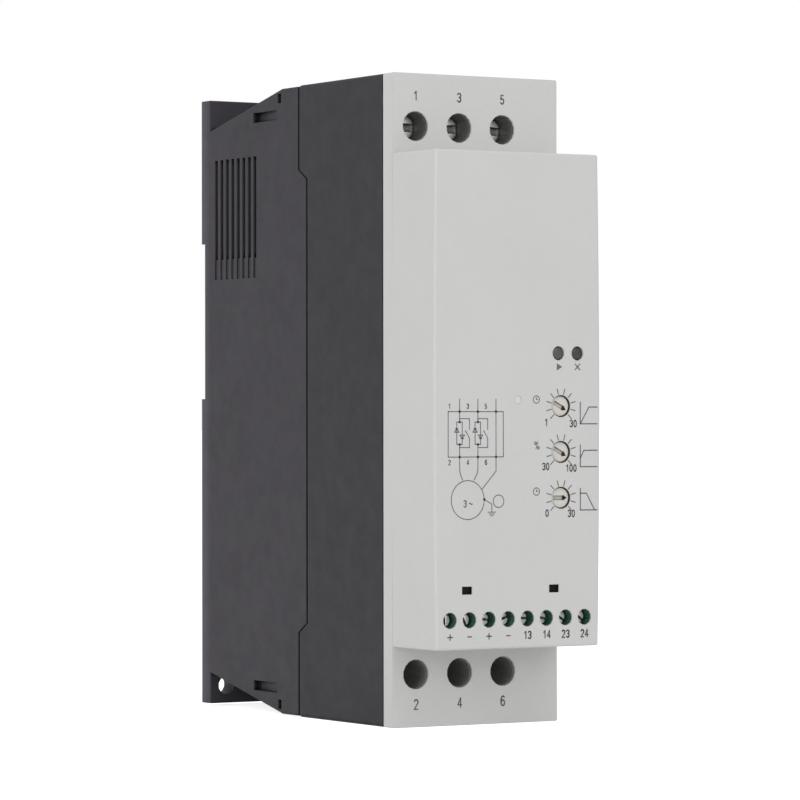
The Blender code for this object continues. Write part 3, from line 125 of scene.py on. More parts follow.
class ShaderGraph:
    """Node graph of one material, with short calls that add and join nodes."""

    def __init__(self, name: str) -> None:
        """Start a material with an empty Principled shader.

        Args:
            name: Name of the new material.
        """
        self.material = bpy.data.materials.new(name)
        self.material.use_nodes = True
        self.tree = self.material.node_tree
        self.shader = self.tree.nodes["Principled BSDF"]
        self.position = self.add("ShaderNodeTexCoord").outputs["Object"]

    def add(self, kind: str, **inputs: object) -> bpy.types.Node:
        """Add a node and set its unlinked inputs.

        Args:
            kind: Blender's name of the node type.
            **inputs: Values by input name, with an underscore for a space.

        Returns:
            The new node.
        """
        node = self.tree.nodes.new(kind)
        for name, value in inputs.items():
            node.inputs[name.replace("_", " ")].default_value = value
        return node

    def join(self, source: bpy.types.NodeSocket, target: bpy.types.NodeSocket) -> None:
        """Link an output socket to an input socket."""
        self.tree.links.new(source, target)

    def set(self, **values: object) -> None:
        """Set inputs of the Principled shader by name."""
        for name, value in values.items():
            self.shader.inputs[name.replace("_", " ")].default_value = value

    def noise(self, size: float, detail: float = 2.0, stretch: Vector | None = None,
              place: bpy.types.NodeSocket | None = None) -> bpy.types.NodeSocket:
        """Add a noise pattern whose features have a real size.

        Args:
            size: Size of a feature in metres.
            detail: Octaves of finer noise.
            stretch: Factors that lengthen the features along X, Y and Z.
            place: Socket that the pattern reads, or none for Object coordinates.

        Returns:
            The noise's value, from 0 to 1.
        """
        source = place or self.position
        if stretch is not None:
            mapping = self.add("ShaderNodeMapping")
            mapping.inputs["Scale"].default_value = (
                1.0 / stretch.x, 1.0 / stretch.y, 1.0 / stretch.z)
            self.join(source, mapping.inputs["Vector"])
            source = mapping.outputs["Vector"]
        node = self.add("ShaderNodeTexNoise", Scale=1.0 / size, Detail=detail)
        self.join(source, node.inputs["Vector"])
        return node.outputs["Fac"]

    def feed(self, value: object, target: bpy.types.NodeSocket) -> None:
        """Set an input socket, or link it where the value is itself a socket.

        Args:
            value: A number, an sRGB colour or an output socket.
            target: Input socket.
        """
        if isinstance(value, bpy.types.NodeSocket):
            self.join(value, target)
        elif isinstance(value, tuple):
            target.default_value = linear_colour(value)
        else:
            target.default_value = value

    def reckon(self, operation: str, *values: object) -> bpy.types.NodeSocket:
        """Add a Math node.

        Args:
            operation: Blender's name of the operation.
            *values: Its inputs in order, each a number or a socket.

        Returns:
            Its result.
        """
        node = self.add("ShaderNodeMath")
        node.operation = operation
        for value, target in zip(values, node.inputs):
            self.feed(value, target)
        return node.outputs[0]

    def remap(self, value: bpy.types.NodeSocket, source: Point, target: Point,
              smooth: bool = False) -> bpy.types.NodeSocket:
        """Map one range of a value to another.

        Args:
            value: Value to map.
            source: Its range.
            target: Range of the result.
            smooth: Whether the result eases in and out.

        Returns:
            The mapped value, kept within its range.
        """
        node = self.add("ShaderNodeMapRange", From_Min=source[0], From_Max=source[1],
                        To_Min=target[0], To_Max=target[1])
        if smooth:
            node.interpolation_type = "SMOOTHSTEP"
        self.join(value, node.inputs["Value"])
        return node.outputs["Result"]

    def spread(self, value: bpy.types.NodeSocket, low: float, high: float) -> bpy.types.NodeSocket:
        """Map the middle of a noise, where most of its values lie, to a range."""
        return self.remap(value, (0.3, 0.7), (low, high))

    def blend_colours(self, share: bpy.types.NodeSocket, first: object,
                      second: object) -> bpy.types.NodeSocket:
        """Blend two colours by a value.

        Args:
            share: Share of the second colour.
            first: Colour at 0, or a socket.
            second: Colour at 1, or a socket.

        Returns:
            The blended colour.
        """
        node = self.add("ShaderNodeMix")
        node.data_type = "RGBA"
        ends = [item for item in node.inputs if item.type == "RGBA"]
        self.feed(first, ends[0])
        self.feed(second, ends[1])
        self.join(share, node.inputs["Factor"])
        return [item for item in node.outputs if item.type == "RGBA"][0]

    def darken_crevices(self, colour: bpy.types.NodeSocket, reach: float,
                        darkest: float = 0.0, own: bool = False) -> bpy.types.NodeSocket:
        """Paint shade into a colour in narrow slots and joints, where the walls shade each other.

        Args:
            colour: Colour of the open surface.
            reach: Distance in metres within which walls shade each other.
            darkest: Share of the colour that is left in the deepest crevice.
            own: Whether only the piece's own walls count.

        Returns:
            The darkened colour.
        """
        # Painted shade: ambient occlusion darkens the colour towards near-black where walls are
        # close.
        open_share = self.add("ShaderNodeAmbientOcclusion", Distance=reach)
        open_share.samples = 8
        open_share.only_local = own
        left = self.remap(open_share.outputs["AO"], (0.40, 0.95), (darkest, 1.0), smooth=True)
        return self.blend_colours(left, CREVICE_SHADE, colour)

    def paint(self, colour: bpy.types.NodeSocket) -> None:
        """Link a colour to the shader's base colour."""
        self.join(colour, self.shader.inputs["Base Color"])

    def gloss(self, size: float, low: float, high: float) -> None:
        """Drive the shader's roughness by a noise.

        Args:
            size: Size in metres of the glossier and duller spots.
            low: Least roughness.
            high: Greatest roughness.
        """
        self.join(self.spread(self.noise(size), low, high), self.shader.inputs["Roughness"])

    def relief(self, height: bpy.types.NodeSocket, depth: float,
               edge_round: float = 0.0) -> None:
        """Drive the shader's normal by a height pattern and by soft edges.

        Args:
            height: Height pattern from 0 to 1.
            depth: Real height of the pattern in metres.
            edge_round: Radius in metres that edges are shaded with.
        """
        bump = self.add("ShaderNodeBump", Strength=1.0, Distance=depth)
        self.join(height, bump.inputs["Height"])
        if edge_round > 0.0:
            edge = self.add("ShaderNodeBevel", Radius=edge_round)
            edge.samples = 6
            self.join(edge.outputs["Normal"], bump.inputs["Normal"])
        self.join(bump.outputs["Normal"], self.shader.inputs["Normal"])


@dataclass(frozen=True)
class Finish:
    """Finish of a surface, with the values that most finishes share."""

    colour: Colour
    roughness: float = 0.5
    grain: float = 0.0003
    grain_depth: float = 0.000008
    mottle: float = 0.03
    edge_round: float = 0.00025

    def build(self, name: str) -> bpy.types.Material:
        """Build the material.

        Args:
            name: Name of the material.

        Returns:
            The new material.
        """
        graph = ShaderGraph(name)
        self.dress(graph)
        return graph.material

    def dress(self, graph: ShaderGraph) -> None:
        """Add this finish's nodes to the graph of a material."""
        raise NotImplementedError


@dataclass(frozen=True)
class MouldedPlastic(Finish):
    """Moulded plastic with a spark-eroded grain and a slight cloudiness."""

    sheen_spread: float = 0.05
    specular: float = 0.5
    crevice: float = 0.0
    crevice_left: float = 0.0
    bleached_back: float = 0.0
    strip: Point = (49.0 * MM, 54.0 * MM)
    cloud_size: float = 20.0 * MM
    speck_share: float = 0.45

    def bleach(self, graph: ShaderGraph,
               colour: bpy.types.NodeSocket) -> bpy.types.NodeSocket:
        """Paint a highlight on the strip along the rear edge, where the rounded edge catches
        light.

        Args:
            graph: Graph of the material.
            colour: Colour of the rest of the surface.

        Returns:
            The colour with its painted highlight.
        """
        parts = graph.add("ShaderNodeSeparateXYZ")
        graph.join(graph.position, parts.inputs[0])
        share = graph.remap(
            parts.outputs["Y"], (self.strip[0], self.strip[1]), (0.0, 1.0), smooth=True)
        return graph.blend_colours(share, colour, shade(self.colour, self.bleached_back))

    def dress(self, graph: ShaderGraph) -> None:
        """Add cloudy colour, uneven gloss, a fine pebbled grain, a painted highlight along the
        rear edge and painted shade in crevices.

        Args:
            graph: Graph of the material.
        """
        cloud = graph.noise(self.cloud_size, 3.0)
        speck = graph.noise(self.grain * 1.7, 1.0)
        patchy = graph.reckon("MULTIPLY_ADD", speck, self.speck_share,
                              graph.reckon("MULTIPLY", cloud, 1.0 - self.speck_share))
        colour = graph.blend_colours(
            graph.spread(patchy, 0.0, 1.0), shade(self.colour, 1.0 - self.mottle),
            shade(self.colour, 1.0 + self.mottle))
        # Painted highlight: a paler band along the rear edge.
        if self.bleached_back > 0.0:
            colour = self.bleach(graph, colour)
        # Painted shade: colour darkened in slots, vents and joints.
        if self.crevice > 0.0:
            colour = graph.darken_crevices(colour, self.crevice, self.crevice_left)
        graph.paint(colour)
        graph.gloss(0.2 * self.cloud_size, self.roughness - self.sheen_spread,
                    self.roughness + self.sheen_spread)
        graph.set(Specular_IOR_Level=self.specular)
        graph.relief(graph.noise(self.grain), self.grain_depth, self.edge_round)


@dataclass(frozen=True)
class PlatedMetal(Finish):
    """Plated steel with fine tool marks and small dull spots."""

    metallic: float = 1.0
    slot_reach: float = 0.0
    spot_size: float = 1.1 * MM
    stretch: tuple[float, float, float] = (1.0, 1.0, 1.0)

    def dress(self, graph: ShaderGraph) -> None:
        """Add bright metal with dull spots, fine tool marks and painted shade in its slots.

        Args:
            graph: Graph of the material.
        """
        spot = graph.spread(graph.noise(self.spot_size, 4.0), -0.8, 1.0)
        colour = graph.blend_colours(spot, self.colour, shade(self.colour, 0.90))
        # Painted shade: colour darkened inside the screw's slot and recess.
        if self.slot_reach > 0.0:
            colour = graph.darken_crevices(colour, self.slot_reach, 0.02, own=True)
        graph.paint(colour)
        graph.gloss(1.2 * MM, self.roughness * 0.85, self.roughness * 1.2)
        graph.set(Metallic=self.metallic)
        marks = graph.noise(self.grain, 3.0, Vector(self.stretch))
        graph.relief(marks, self.grain_depth, self.edge_round)


@dataclass(frozen=True)
class CircuitBoard(Finish):
    """Lacquered circuit board with tracks that show through the green lacquer."""

    track: Colour = (0.16, 0.40, 0.22)
    pitch: float = 0.0025

    def dress(self, graph: ShaderGraph) -> None:
        """Add a brick-like net of tracks under glossy lacquer.

        Args:
            graph: Graph of the material.
        """
        tilt = graph.add("ShaderNodeMapping")
        tilt.inputs["Rotation"].default_value = (math.radians(90.0), 0.0, 0.0)
        graph.join(graph.position, tilt.inputs["Vector"])
        net = graph.add("ShaderNodeTexBrick", Scale=1.0 / (self.pitch * 4.0))
        graph.feed(self.colour, net.inputs["Color1"])
        graph.feed(shade(self.colour, 0.85), net.inputs["Color2"])
        graph.feed(self.track, net.inputs["Mortar"])
        net.inputs["Mortar Size"].default_value = 0.02
        graph.join(tilt.outputs["Vector"], net.inputs["Vector"])
        graph.paint(net.outputs["Color"])
        graph.gloss(3.0 * MM, self.roughness * 0.8, self.roughness * 1.2)
        graph.relief(net.outputs["Fac"], self.grain_depth, self.edge_round)


@dataclass(frozen=True)
class LampLens(Finish):
    """Smoked clear lens with a dim chip behind it."""

    def dress(self, graph: ShaderGraph) -> None:
        """Add a dark glossy body with faint cloudiness and a clear coat.

        Args:
            graph: Graph of the material.
        """
        cloud = graph.spread(graph.noise(1.2 * MM), 0.0, 1.0)
        graph.paint(graph.blend_colours(
            cloud, shade(self.colour, 0.9), shade(self.colour, 1.15)))
        graph.gloss(0.6 * MM, self.roughness * 0.8, self.roughness * 1.3)
        graph.set(Coat_Weight=0.25, Coat_Roughness=0.2)
        graph.relief(graph.noise(self.grain, 1.0), self.grain_depth, self.edge_round)


@dataclass(frozen=True)
class PrintedInk(Finish):
    """Thin pad-printed ink that lets a little of the cover's colour through."""

    ground: Colour = (0.80, 0.80, 0.79)

    def dress(self, graph: ShaderGraph) -> None:
        """Add slightly uneven ink.

        Args:
            graph: Graph of the material.
        """
        worn = graph.spread(graph.noise(0.4 * MM), 0.0, 0.14)
        graph.paint(graph.blend_colours(worn, self.colour, self.ground))
        graph.gloss(2.0 * MM, self.roughness - 0.05, self.roughness + 0.05)
        graph.relief(graph.noise(self.grain, 1.0), self.grain_depth)


class Finishes(Enum):
    """Named finishes of the device."""

    LIGHT_COVER = MouldedPlastic((0.800, 0.800, 0.795), 0.50, 0.00030, 0.000006, 0.012, 0.0003)
    # The housings' crevice values paint shade into their slots, vents and joints.
    DARK_HOUSING = MouldedPlastic((0.196, 0.190, 0.204), 0.55, 0.00040, 0.000016, 0.04, 0.0005,
                                  specular=0.15, crevice=0.0016)
    # The rear housing's highlight value paints a paler band where its rear edge catches light.
    REAR_HOUSING = MouldedPlastic((0.230, 0.222, 0.241), 0.55, 0.00040, 0.000016, 0.04, 0.0005,
                                  specular=0.15, crevice=0.0016, bleached_back=1.45)
    VENT_GROOVE = MouldedPlastic((0.204, 0.197, 0.213), 0.58, 0.00040, 0.000016, 0.04, 0.0001,
                                 specular=0.15)
    # Painted shade: colour of the collars that darken the gap round each trimmer rotor.
    COLLAR = MouldedPlastic((0.240, 0.200, 0.150), 0.50, 0.00020, 0.000004, 0.05, 0.0)
    GATE = MouldedPlastic((0.836, 0.836, 0.820), 0.60, 0.00020, 0.000004, 0.01, 0.0001)
    BLACK_BLOCK = MouldedPlastic((0.400, 0.405, 0.390), 0.42, 0.00030, 0.000004, 0.06)
    # Painted light: the same plastic as the line block, made lighter to make up for the shade
    # under the raised front.
    LOAD_BLOCK = MouldedPlastic((0.500, 0.505, 0.488), 0.42, 0.00030, 0.000004, 0.06)
    CATCH = MouldedPlastic((0.070, 0.068, 0.060), 0.60, 0.00030, 0.000008, 0.05, specular=0.1)
    GREEN_BLOCK = MouldedPlastic((0.13, 0.36, 0.26), 0.40, 0.00025, 0.000006, 0.05)
    # The rotor's crevice values paint shade into its pointer slot and round its rim.
    IVORY = MouldedPlastic((0.835, 0.825, 0.795), 0.42, 0.00018, 0.000004, 0.02, 0.0001,
                           crevice=0.0012, crevice_left=0.10)
    BLUE_CASE = MouldedPlastic((0.13, 0.22, 0.46), 0.35, 0.00020, 0.000004, 0.05)
    RELAY_CASE = MouldedPlastic((0.12, 0.12, 0.13), 0.28, 0.00030, 0.000004, 0.05)
    EPOXY = MouldedPlastic((0.17, 0.17, 0.18), 0.62, 0.00050, 0.00002, 0.08)
    LATCH = MouldedPlastic((0.14, 0.14, 0.145), 0.46, 0.00030, 0.00001, 0.05)
    # The screws' slot values paint shade into their slots.
    NICKEL = PlatedMetal((0.98, 0.97, 0.94), 0.26, 0.00020, 0.0000002, 0.0, 0.0, metallic=0.55,
                         slot_reach=0.0030)
    BRIGHT_NICKEL = PlatedMetal((0.99, 0.99, 0.97), 0.24, 0.00020, 0.0000002, 0.0, 0.0,
                                metallic=0.25, slot_reach=0.0016)
    ZINC = PlatedMetal((0.66, 0.66, 0.64), 0.34, 0.00020, 0.000004, 0.0, 0.0001)
    COPPER = PlatedMetal((0.80, 0.56, 0.42), 0.32, 0.00020, 0.000004, 0.0, 0.0001)
    ALUMINIUM = PlatedMetal(
        (0.76, 0.77, 0.78), 0.38, 0.00010, 0.000006, 0.0, 0.0001, stretch=(1.0, 1.0, 60.0))
    SPRING_WIRE = PlatedMetal((0.58, 0.58, 0.58), 0.28, 0.00010, 0.000002, 0.0, 0.0)
    BOARD = CircuitBoard((0.08, 0.28, 0.14), 0.30, 0.0003, 0.00001)
    RUN_LENS = LampLens((0.225, 0.200, 0.180), 0.42, 0.0003, 0.00001, 0.0, 0.0)
    ERROR_LENS = LampLens((0.050, 0.046, 0.042), 0.42, 0.0003, 0.00001, 0.0, 0.0)
    INK = PrintedInk((0.315, 0.325, 0.350), 0.55, 0.0002, 0.000002, 0.0, 0.0)

    def material(self, name: str) -> bpy.types.Material:
        """Build a material of this finish under a name."""
        return self.value.build(name)


class Bench:
    """Modelling bench: Blender's edit operators with selections made in code."""

    @staticmethod
    def clear() -> None:
        """Leave edit mode and deselect everything."""
        if bpy.context.object and bpy.context.object.mode != "OBJECT":
            bpy.ops.object.mode_set(mode="OBJECT")
        bpy.ops.object.select_all(action="DESELECT")

    @classmethod
    def pick(cls, *items: bpy.types.Object) -> None:
        """Select only the given objects and make the first one active.

        Args:
            *items: Objects.
        """
        cls.clear()
        for item in items:
            item.select_set(True)
        bpy.context.view_layer.objects.active = items[0]

    @classmethod
    def cylinder(cls, radius: float, low: float, high: float, sides: int) -> bpy.types.Object:
        """Add an upright cylinder about the Z axis.

        Args:
            radius: Radius in metres.
            low: Z of the foot.
            high: Z of the top.
            sides: Number of sides.

        Returns:
            The new object, selected and active.
        """
        cls.clear()
        bpy.ops.mesh.primitive_cylinder_add(
            vertices=sides, radius=radius, depth=high - low, location=(0.0, 0.0, (low + high) / 2))
        item = bpy.context.object
        bpy.ops.object.transform_apply(location=True, rotation=True, scale=True)
        return item

    @classmethod
    def sleeve(cls, radius: float, low: float, high: float, wall: float,
               sides: int) -> bpy.types.Object:
        """Add an upright tube about the Z axis.

        Args:
            radius: Outer radius in metres.
            low: Z of the foot.
            high: Z of the top.
            wall: Thickness of its wall.
            sides: Number of sides.

        Returns:
            The new object, selected and active.
        """
        cls.clear()
        bpy.ops.mesh.primitive_cylinder_add(
            vertices=sides, radius=radius, depth=high - low, end_fill_type="NOTHING",
            location=(0.0, 0.0, (low + high) / 2))
        item = bpy.context.object
        bpy.ops.object.transform_apply(location=True, rotation=True, scale=True)
        modifier = item.modifiers.new("wall", "SOLIDIFY")
        modifier.thickness = wall
        modifier.offset = -1.0
        bpy.ops.object.modifier_apply(modifier=modifier.name)
        return item

    @classmethod
    def block(cls, size: Sequence[float], middle: Sequence[float]) -> bpy.types.Object:
        """Add a block.

        Args:
            size: Lengths along X, Y and Z.
            middle: Its middle.

        Returns:
            The new object, selected and active.
        """
        cls.clear()
        bpy.ops.mesh.primitive_cube_add(size=1.0, location=middle)
        item = bpy.context.object
        item.scale = size
        bpy.ops.object.transform_apply(location=True, rotation=True, scale=True)
        return item

    @classmethod
    def choose(cls, item: bpy.types.Object, kind: str, test: Callable) -> int:
        """Select the faces or edges that pass a test and enter edit mode on them.

        Args:
            item: Object to edit.
            kind: FACE or EDGE.
            test: Says whether a part is chosen.

        Returns:
            How many parts were chosen.
        """
        cls.pick(item)
        bpy.ops.object.mode_set(mode="EDIT")
        bpy.ops.mesh.select_mode(type=kind)
        bpy.ops.mesh.select_all(action="DESELECT")
        bpy.ops.object.mode_set(mode="OBJECT")
        chosen = 0
        for part in item.data.polygons if kind == "FACE" else item.data.edges:
            part.select = bool(test(part))
            chosen += int(part.select)
        bpy.ops.object.mode_set(mode="EDIT")
        return chosen

    @classmethod
    def choose_faces(cls, item: bpy.types.Object,
                     test: Callable[[bpy.types.MeshPolygon], bool]) -> int:
        """Select the faces that pass a test, enter edit mode and return their number."""
        return cls.choose(item, "FACE", test)

    @classmethod
    def choose_edges(cls, item: bpy.types.Object,
                     test: Callable[[Vector, Vector], bool]) -> int:
        """Select the edges whose two ends pass a test, enter edit mode and count them."""
        return cls.choose(item, "EDGE", lambda edge: test(
            *(item.data.vertices[index].co for index in edge.vertices)))

    @classmethod
    def choose_all(cls, item: bpy.types.Object) -> None:
        """Enter edit mode with the whole mesh selected.

        Args:
            item: Object to edit.
        """
        cls.pick(item)
        bpy.ops.object.mode_set(mode="EDIT")
        bpy.ops.mesh.select_all(action="SELECT")

    @classmethod
    def carve(cls, item: bpy.types.Object, tool: bpy.types.Object,
              operation: str = "DIFFERENCE") -> None:
        """Combine an object with a tool by an exact Boolean and remove the tool.

        Args:
            item: Object that is changed.
            tool: Object that cuts it or joins it.
            operation: Blender's name of the Boolean.
        """
        cls.pick(item)
        modifier = item.modifiers.new("carve", "BOOLEAN")
        modifier.operation = operation
        modifier.solver = "EXACT"
        modifier.object = tool
        bpy.ops.object.modifier_apply(modifier=modifier.name)
        bpy.data.objects.remove(tool, do_unlink=True)

    @classmethod
    def soften(cls, item: bpy.types.Object, width: float, segments: int = 2) -> None:
        """Round sharp edges by a Bevel modifier and shade the piece smooth.

        Args:
            item: Object that is changed.
            width: Width of the bevel in metres.
            segments: Number of faces across the bevel.
        """
        cls.pick(item)
        modifier = item.modifiers.new("soften", "BEVEL")
        modifier.width = width
        modifier.segments = segments
        modifier.limit_method = "ANGLE"
        modifier.angle_limit = SMOOTH_ANGLE
        bpy.ops.object.modifier_apply(modifier=modifier.name)
        cls.smooth(item)

    @classmethod
    def smooth(cls, item: bpy.types.Object) -> None:
        """Shade a piece smooth, apart from its sharp edges."""
        cls.pick(item)
        bpy.ops.object.shade_smooth_by_angle(angle=SMOOTH_ANGLE)

    @classmethod
    def join(cls, items: Sequence[bpy.types.Object]) -> bpy.types.Object:
        """Join objects into the first one.

        Args:
            items: Objects to join.

        Returns:
            The joined object.
        """
        cls.pick(*items)
        if len(items) > 1:
            bpy.ops.object.join()
        return bpy.context.view_layer.objects.active


def face_matrix(place: Vector, turn: float = 0.0) -> Matrix:
    """Matrix that stands a piece up at the front.

    A piece is modelled lying down, with its face up and its head toward +Y. The matrix
    turns its face to the front and its head up.

    Args:
        place: Where the piece's origin goes.
        turn: Clockwise turn in radians, seen from the front.

    Returns:
        The matrix.
    """
    upright = Matrix.Rotation(math.radians(90.0), 4, "X")
    return Matrix.Translation(place) @ Matrix.Rotation(turn, 4, "Y") @ upright


@dataclass
class SubAssembly:
    """Group of pieces that belong together on one body."""

    body: str = "housing"

    def build(self) -> None:
        """Build and dress every piece of the group."""
        raise NotImplementedError

    def place(self, item: bpy.types.Object, name: str, finish: Finishes, body: str,
              node: str, replace: bool = False) -> None:
        """Name a finished piece, give it its finish and hang it on its body.

        Args:
            item: Finished piece.
            name: Its name.
            finish: Its finish.
            body: CAD body that it rides on.
            node: CAD node that is hidden when the piece replaces it.
            replace: Whether it stands for that node.
        """
        item.name = name
        item.data.name = name
        item.data.materials.clear()
        item.data.materials.append(finish.material(name + "_finish"))
        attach(item, body)
        if replace:
            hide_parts(node)
        LOG.info("%s: %d faces on %s", name, len(item.data.polygons), body)

    @staticmethod
    def repeat(master: bpy.types.Object, matrix: Matrix) -> bpy.types.Object:
        """Copy a master piece with its own mesh, which is moved by a matrix.

        Args:
            master: Piece to copy.
            matrix: Where the copy goes.

        Returns:
            The copy, whose object stays at the origin.
        """
        mesh = master.data.copy()
        mesh.transform(matrix)
        copy = bpy.data.objects.new(master.name, mesh)
        bpy.context.scene.collection.objects.link(copy)
        return copy

    def stand(self, master: bpy.types.Object, node: str, turn: float = 0.0,
              face_y: float | None = None) -> bpy.types.Object:
        """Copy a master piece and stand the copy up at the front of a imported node.

        Args:
            master: Piece to copy.
            node: Node that says where the copy goes.
            turn: Clockwise turn in degrees, seen from the front.
            face_y: Y of the copy's face, or none for the node's own front.

        Returns:
            The copy.
        """
        low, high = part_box(node)
        front = low[1] if face_y is None else face_y
        place = Vector(((low[0] + high[0]) / 2, front, (low[2] + high[2]) / 2))
        return self.repeat(master, face_matrix(place, math.radians(turn)))


@dataclass
class PackedNodes(SubAssembly):
    """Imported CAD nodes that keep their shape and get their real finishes."""

    nodes: dict = field(default_factory=dict)
    finishes: tuple[tuple[str, Finishes], ...] = (
        ("front_cover", Finishes.LIGHT_COVER),
        ("front_housing", Finishes.DARK_HOUSING),
        ("rear_housing", Finishes.REAR_HOUSING),
        ("line_terminal_block", Finishes.BLACK_BLOCK),
        ("load_terminal_block", Finishes.LOAD_BLOCK),
        ("control_terminal_block", Finishes.GREEN_BLOCK),
        ("heat_sink", Finishes.ALUMINIUM),
        ("thyristor_module", Finishes.EPOXY),
        ("bypass_relay", Finishes.RELAY_CASE),
        ("power_board", Finishes.BOARD),
        ("control_board", Finishes.BOARD),
        ("busbar", Finishes.COPPER),
        ("clamp", Finishes.ZINC),
        ("cover_catch", Finishes.CATCH),
        ("screw", Finishes.NICKEL),
        ("trimmer_body", Finishes.BLUE_CASE),
        ("trimmer_rotor", Finishes.IVORY),
        ("run_lamp", Finishes.RUN_LENS),
        ("error_lamp", Finishes.ERROR_LENS),
        ("rail_latch", Finishes.LATCH),
        ("latch_spring", Finishes.SPRING_WIRE))

    def finish_of(self, node: str) -> Finishes:
        """Find the finish of a node by its name.

        Args:
            node: Name of the node.

        Returns:
            The finish whose key stands in the node's name.
        """
        for key, finish in self.finishes:
            if key in node:
                return finish
        raise KeyError(node)

    def build(self) -> None:
        """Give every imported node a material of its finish."""
        made: dict[Finishes, bpy.types.Material] = {}
        for name, item in self.nodes.items():
            finish = self.finish_of(name)
            if finish not in made:
                made[finish] = finish.material(finish.name.lower())
            item.data.materials.clear()
            item.data.materials.append(made[finish])
        LOG.info("dressed %d packed nodes in %d finishes", len(self.nodes), len(made))


@dataclass(frozen=True)
class ScrewSize:
    """Sizes of one kind of terminal screw, in metres."""

    head_diameter: float
    head_height: float
    shaft_diameter: float
    shaft_length: float
    slot_width: float
    slot_depth: float
    thread_pitch: float
    rim_round: float
    edge_break: float


@dataclass
class TerminalScrews(SubAssembly):
    """Captive terminal screws with slotted heads and threaded shafts."""

    names: tuple[str, ...] = ()
    angles: tuple[float, ...] = ()
    size: ScrewSize | None = None
    finish: Finishes = Finishes.NICKEL
    thread_root: float = 0.9
    tip: float = 0.8
    sides: int = 48

    def thread(self, item: bpy.types.Object) -> None:
        """Grow the shaft from the underside of the head, a thread's groove at a time.

        Args:
            item: Head to grow the shaft from.
        """
        size = self.size
        foot = -size.head_height
        Bench.choose_faces(item, lambda face: face.normal.z < -0.9 and face.center.z < foot * 0.99)
        bpy.ops.mesh.inset(thickness=(size.head_diameter - size.shaft_diameter) / 2)
        turns = int(size.shaft_length / size.thread_pitch)
        for _ in range(turns):
            for factor in (self.thread_root, 1.0 / self.thread_root):
                bpy.ops.mesh.extrude_region_move(
                    TRANSFORM_OT_translate={"value": (0.0, 0.0, -size.thread_pitch / 2)})
                bpy.ops.transform.resize(
                    value=(factor, factor, 1.0), center_override=(0.0, 0.0, 0.0))
        bpy.ops.mesh.extrude_region_move(TRANSFORM_OT_translate={
            "value": (0.0, 0.0, turns * size.thread_pitch - size.shaft_length)})
        bpy.ops.transform.resize(
            value=(self.tip, self.tip, 1.0), center_override=(0.0, 0.0, 0.0))
        bpy.ops.object.mode_set(mode="OBJECT")

    def model(self) -> bpy.types.Object:
        """Model one screw lying on its back, with the top of its head at the origin.

        Returns:
            The finished screw.
        """
        size = self.size
        item = Bench.cylinder(size.head_diameter / 2, -size.head_height, 0.0, self.sides)
        self.thread(item)
        Bench.choose_edges(item, lambda first, second: min(first.z, second.z) > -TOUCH)
        bpy.ops.mesh.bevel(offset=size.rim_round, segments=6, affect="EDGES")
        bpy.ops.object.mode_set(mode="OBJECT")
        slot = Bench.block(
            (size.head_diameter * 1.2, size.slot_width, size.slot_depth * 2), (0.0, 0.0, 0.0))
        Bench.carve(item, slot)
        Bench.soften(item, size.edge_break)
        return item

    def build(self) -> None:
        """Model one screw and set a copy in place of each packed one."""
        master = self.model()
        for name, angle in zip(self.names, self.angles):
            copy = self.stand(master, name, angle)
            self.place(copy, name + "_turned", self.finish, name, name, replace=True)
        bpy.data.objects.remove(master, do_unlink=True)


@dataclass
class TrimmerRotors(SubAssembly):
    """Setting trimmers' rotors, each with an arrow-shaped slot."""

    names: tuple[str, ...] = numbered("trimmer_rotor", 3)
    angles: tuple[float, ...] = (118.0, 118.0, 90.0)
    shaft_diameter: float = 2.2 * MM
    head_height: float = 2.4 * MM
    slot_width: float = 1.0 * MM
    slot_depth: float = 0.5 * MM
    arrow_width: float = 1.45 * MM
    arrow_depth: float = 1.1 * MM
    rim_round: float = 0.2 * MM
    sides: int = 64

    def arrow(self, reach: float) -> bpy.types.Object:
        """Model the cutter of the pointer: a bar whose end is drawn out to an arrow.

        Args:
            reach: Distance from the axis to the arrow's tip.

        Returns:
            The cutter.
        """
        neck = reach - self.arrow_width * 0.7
        tool = Bench.block(
            (self.slot_width, reach + neck, self.slot_depth * 2), (0.0, (neck - reach) / 2, 0.0))
        head = Bench.block(
            (self.arrow_width, reach - neck, self.arrow_depth * 2), (0.0, (reach + neck) / 2, 0.0))
        Bench.choose_faces(head, lambda face: face.normal.y > 0.9)
        bpy.ops.transform.resize(value=(0.08, 1.0, 1.0), center_override=(0.0, 0.0, 0.0))
        bpy.ops.object.mode_set(mode="OBJECT")
        Bench.carve(tool, head, "UNION")
        return tool

    def model(self, diameter: float, length: float) -> bpy.types.Object:
        """Model one rotor lying on its back, with its face at the origin.

        Args:
            diameter: Diameter of its head.
            length: Length from its face to the shaft's end.

        Returns:
            The finished rotor.
        """
        item = Bench.cylinder(diameter / 2, -self.head_height, 0.0, self.sides)
        foot = -self.head_height
        Bench.choose_faces(item, lambda face: face.normal.z < -0.9 and face.center.z < foot * 0.99)
        bpy.ops.mesh.inset(thickness=(diameter - self.shaft_diameter) / 2)
        bpy.ops.mesh.extrude_region_move(
            TRANSFORM_OT_translate={"value": (0.0, 0.0, self.head_height - length)})
        bpy.ops.object.mode_set(mode="OBJECT")
        Bench.choose_faces(item, lambda face: face.normal.z > 0.9)
        bpy.ops.mesh.inset(thickness=diameter * 0.09)
        bpy.ops.transform.translate(value=(0.0, 0.0, -self.rim_round * 0.5))
        bpy.ops.object.mode_set(mode="OBJECT")
        Bench.carve(item, self.arrow(diameter * 0.41))
        Bench.soften(item, self.rim_round * 0.5, 3)
        return item

    def build(self) -> None:
        """Model one rotor and set a copy in place of each packed one."""
        low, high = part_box(self.names[0])
        master = self.model(high[0] - low[0], high[1] - low[1])
        for name, angle in zip(self.names, self.angles):
            copy = self.stand(master, name, angle)
            self.place(copy, name + "_dial", Finishes.IVORY, name, name, replace=True)
        bpy.data.objects.remove(master, do_unlink=True)


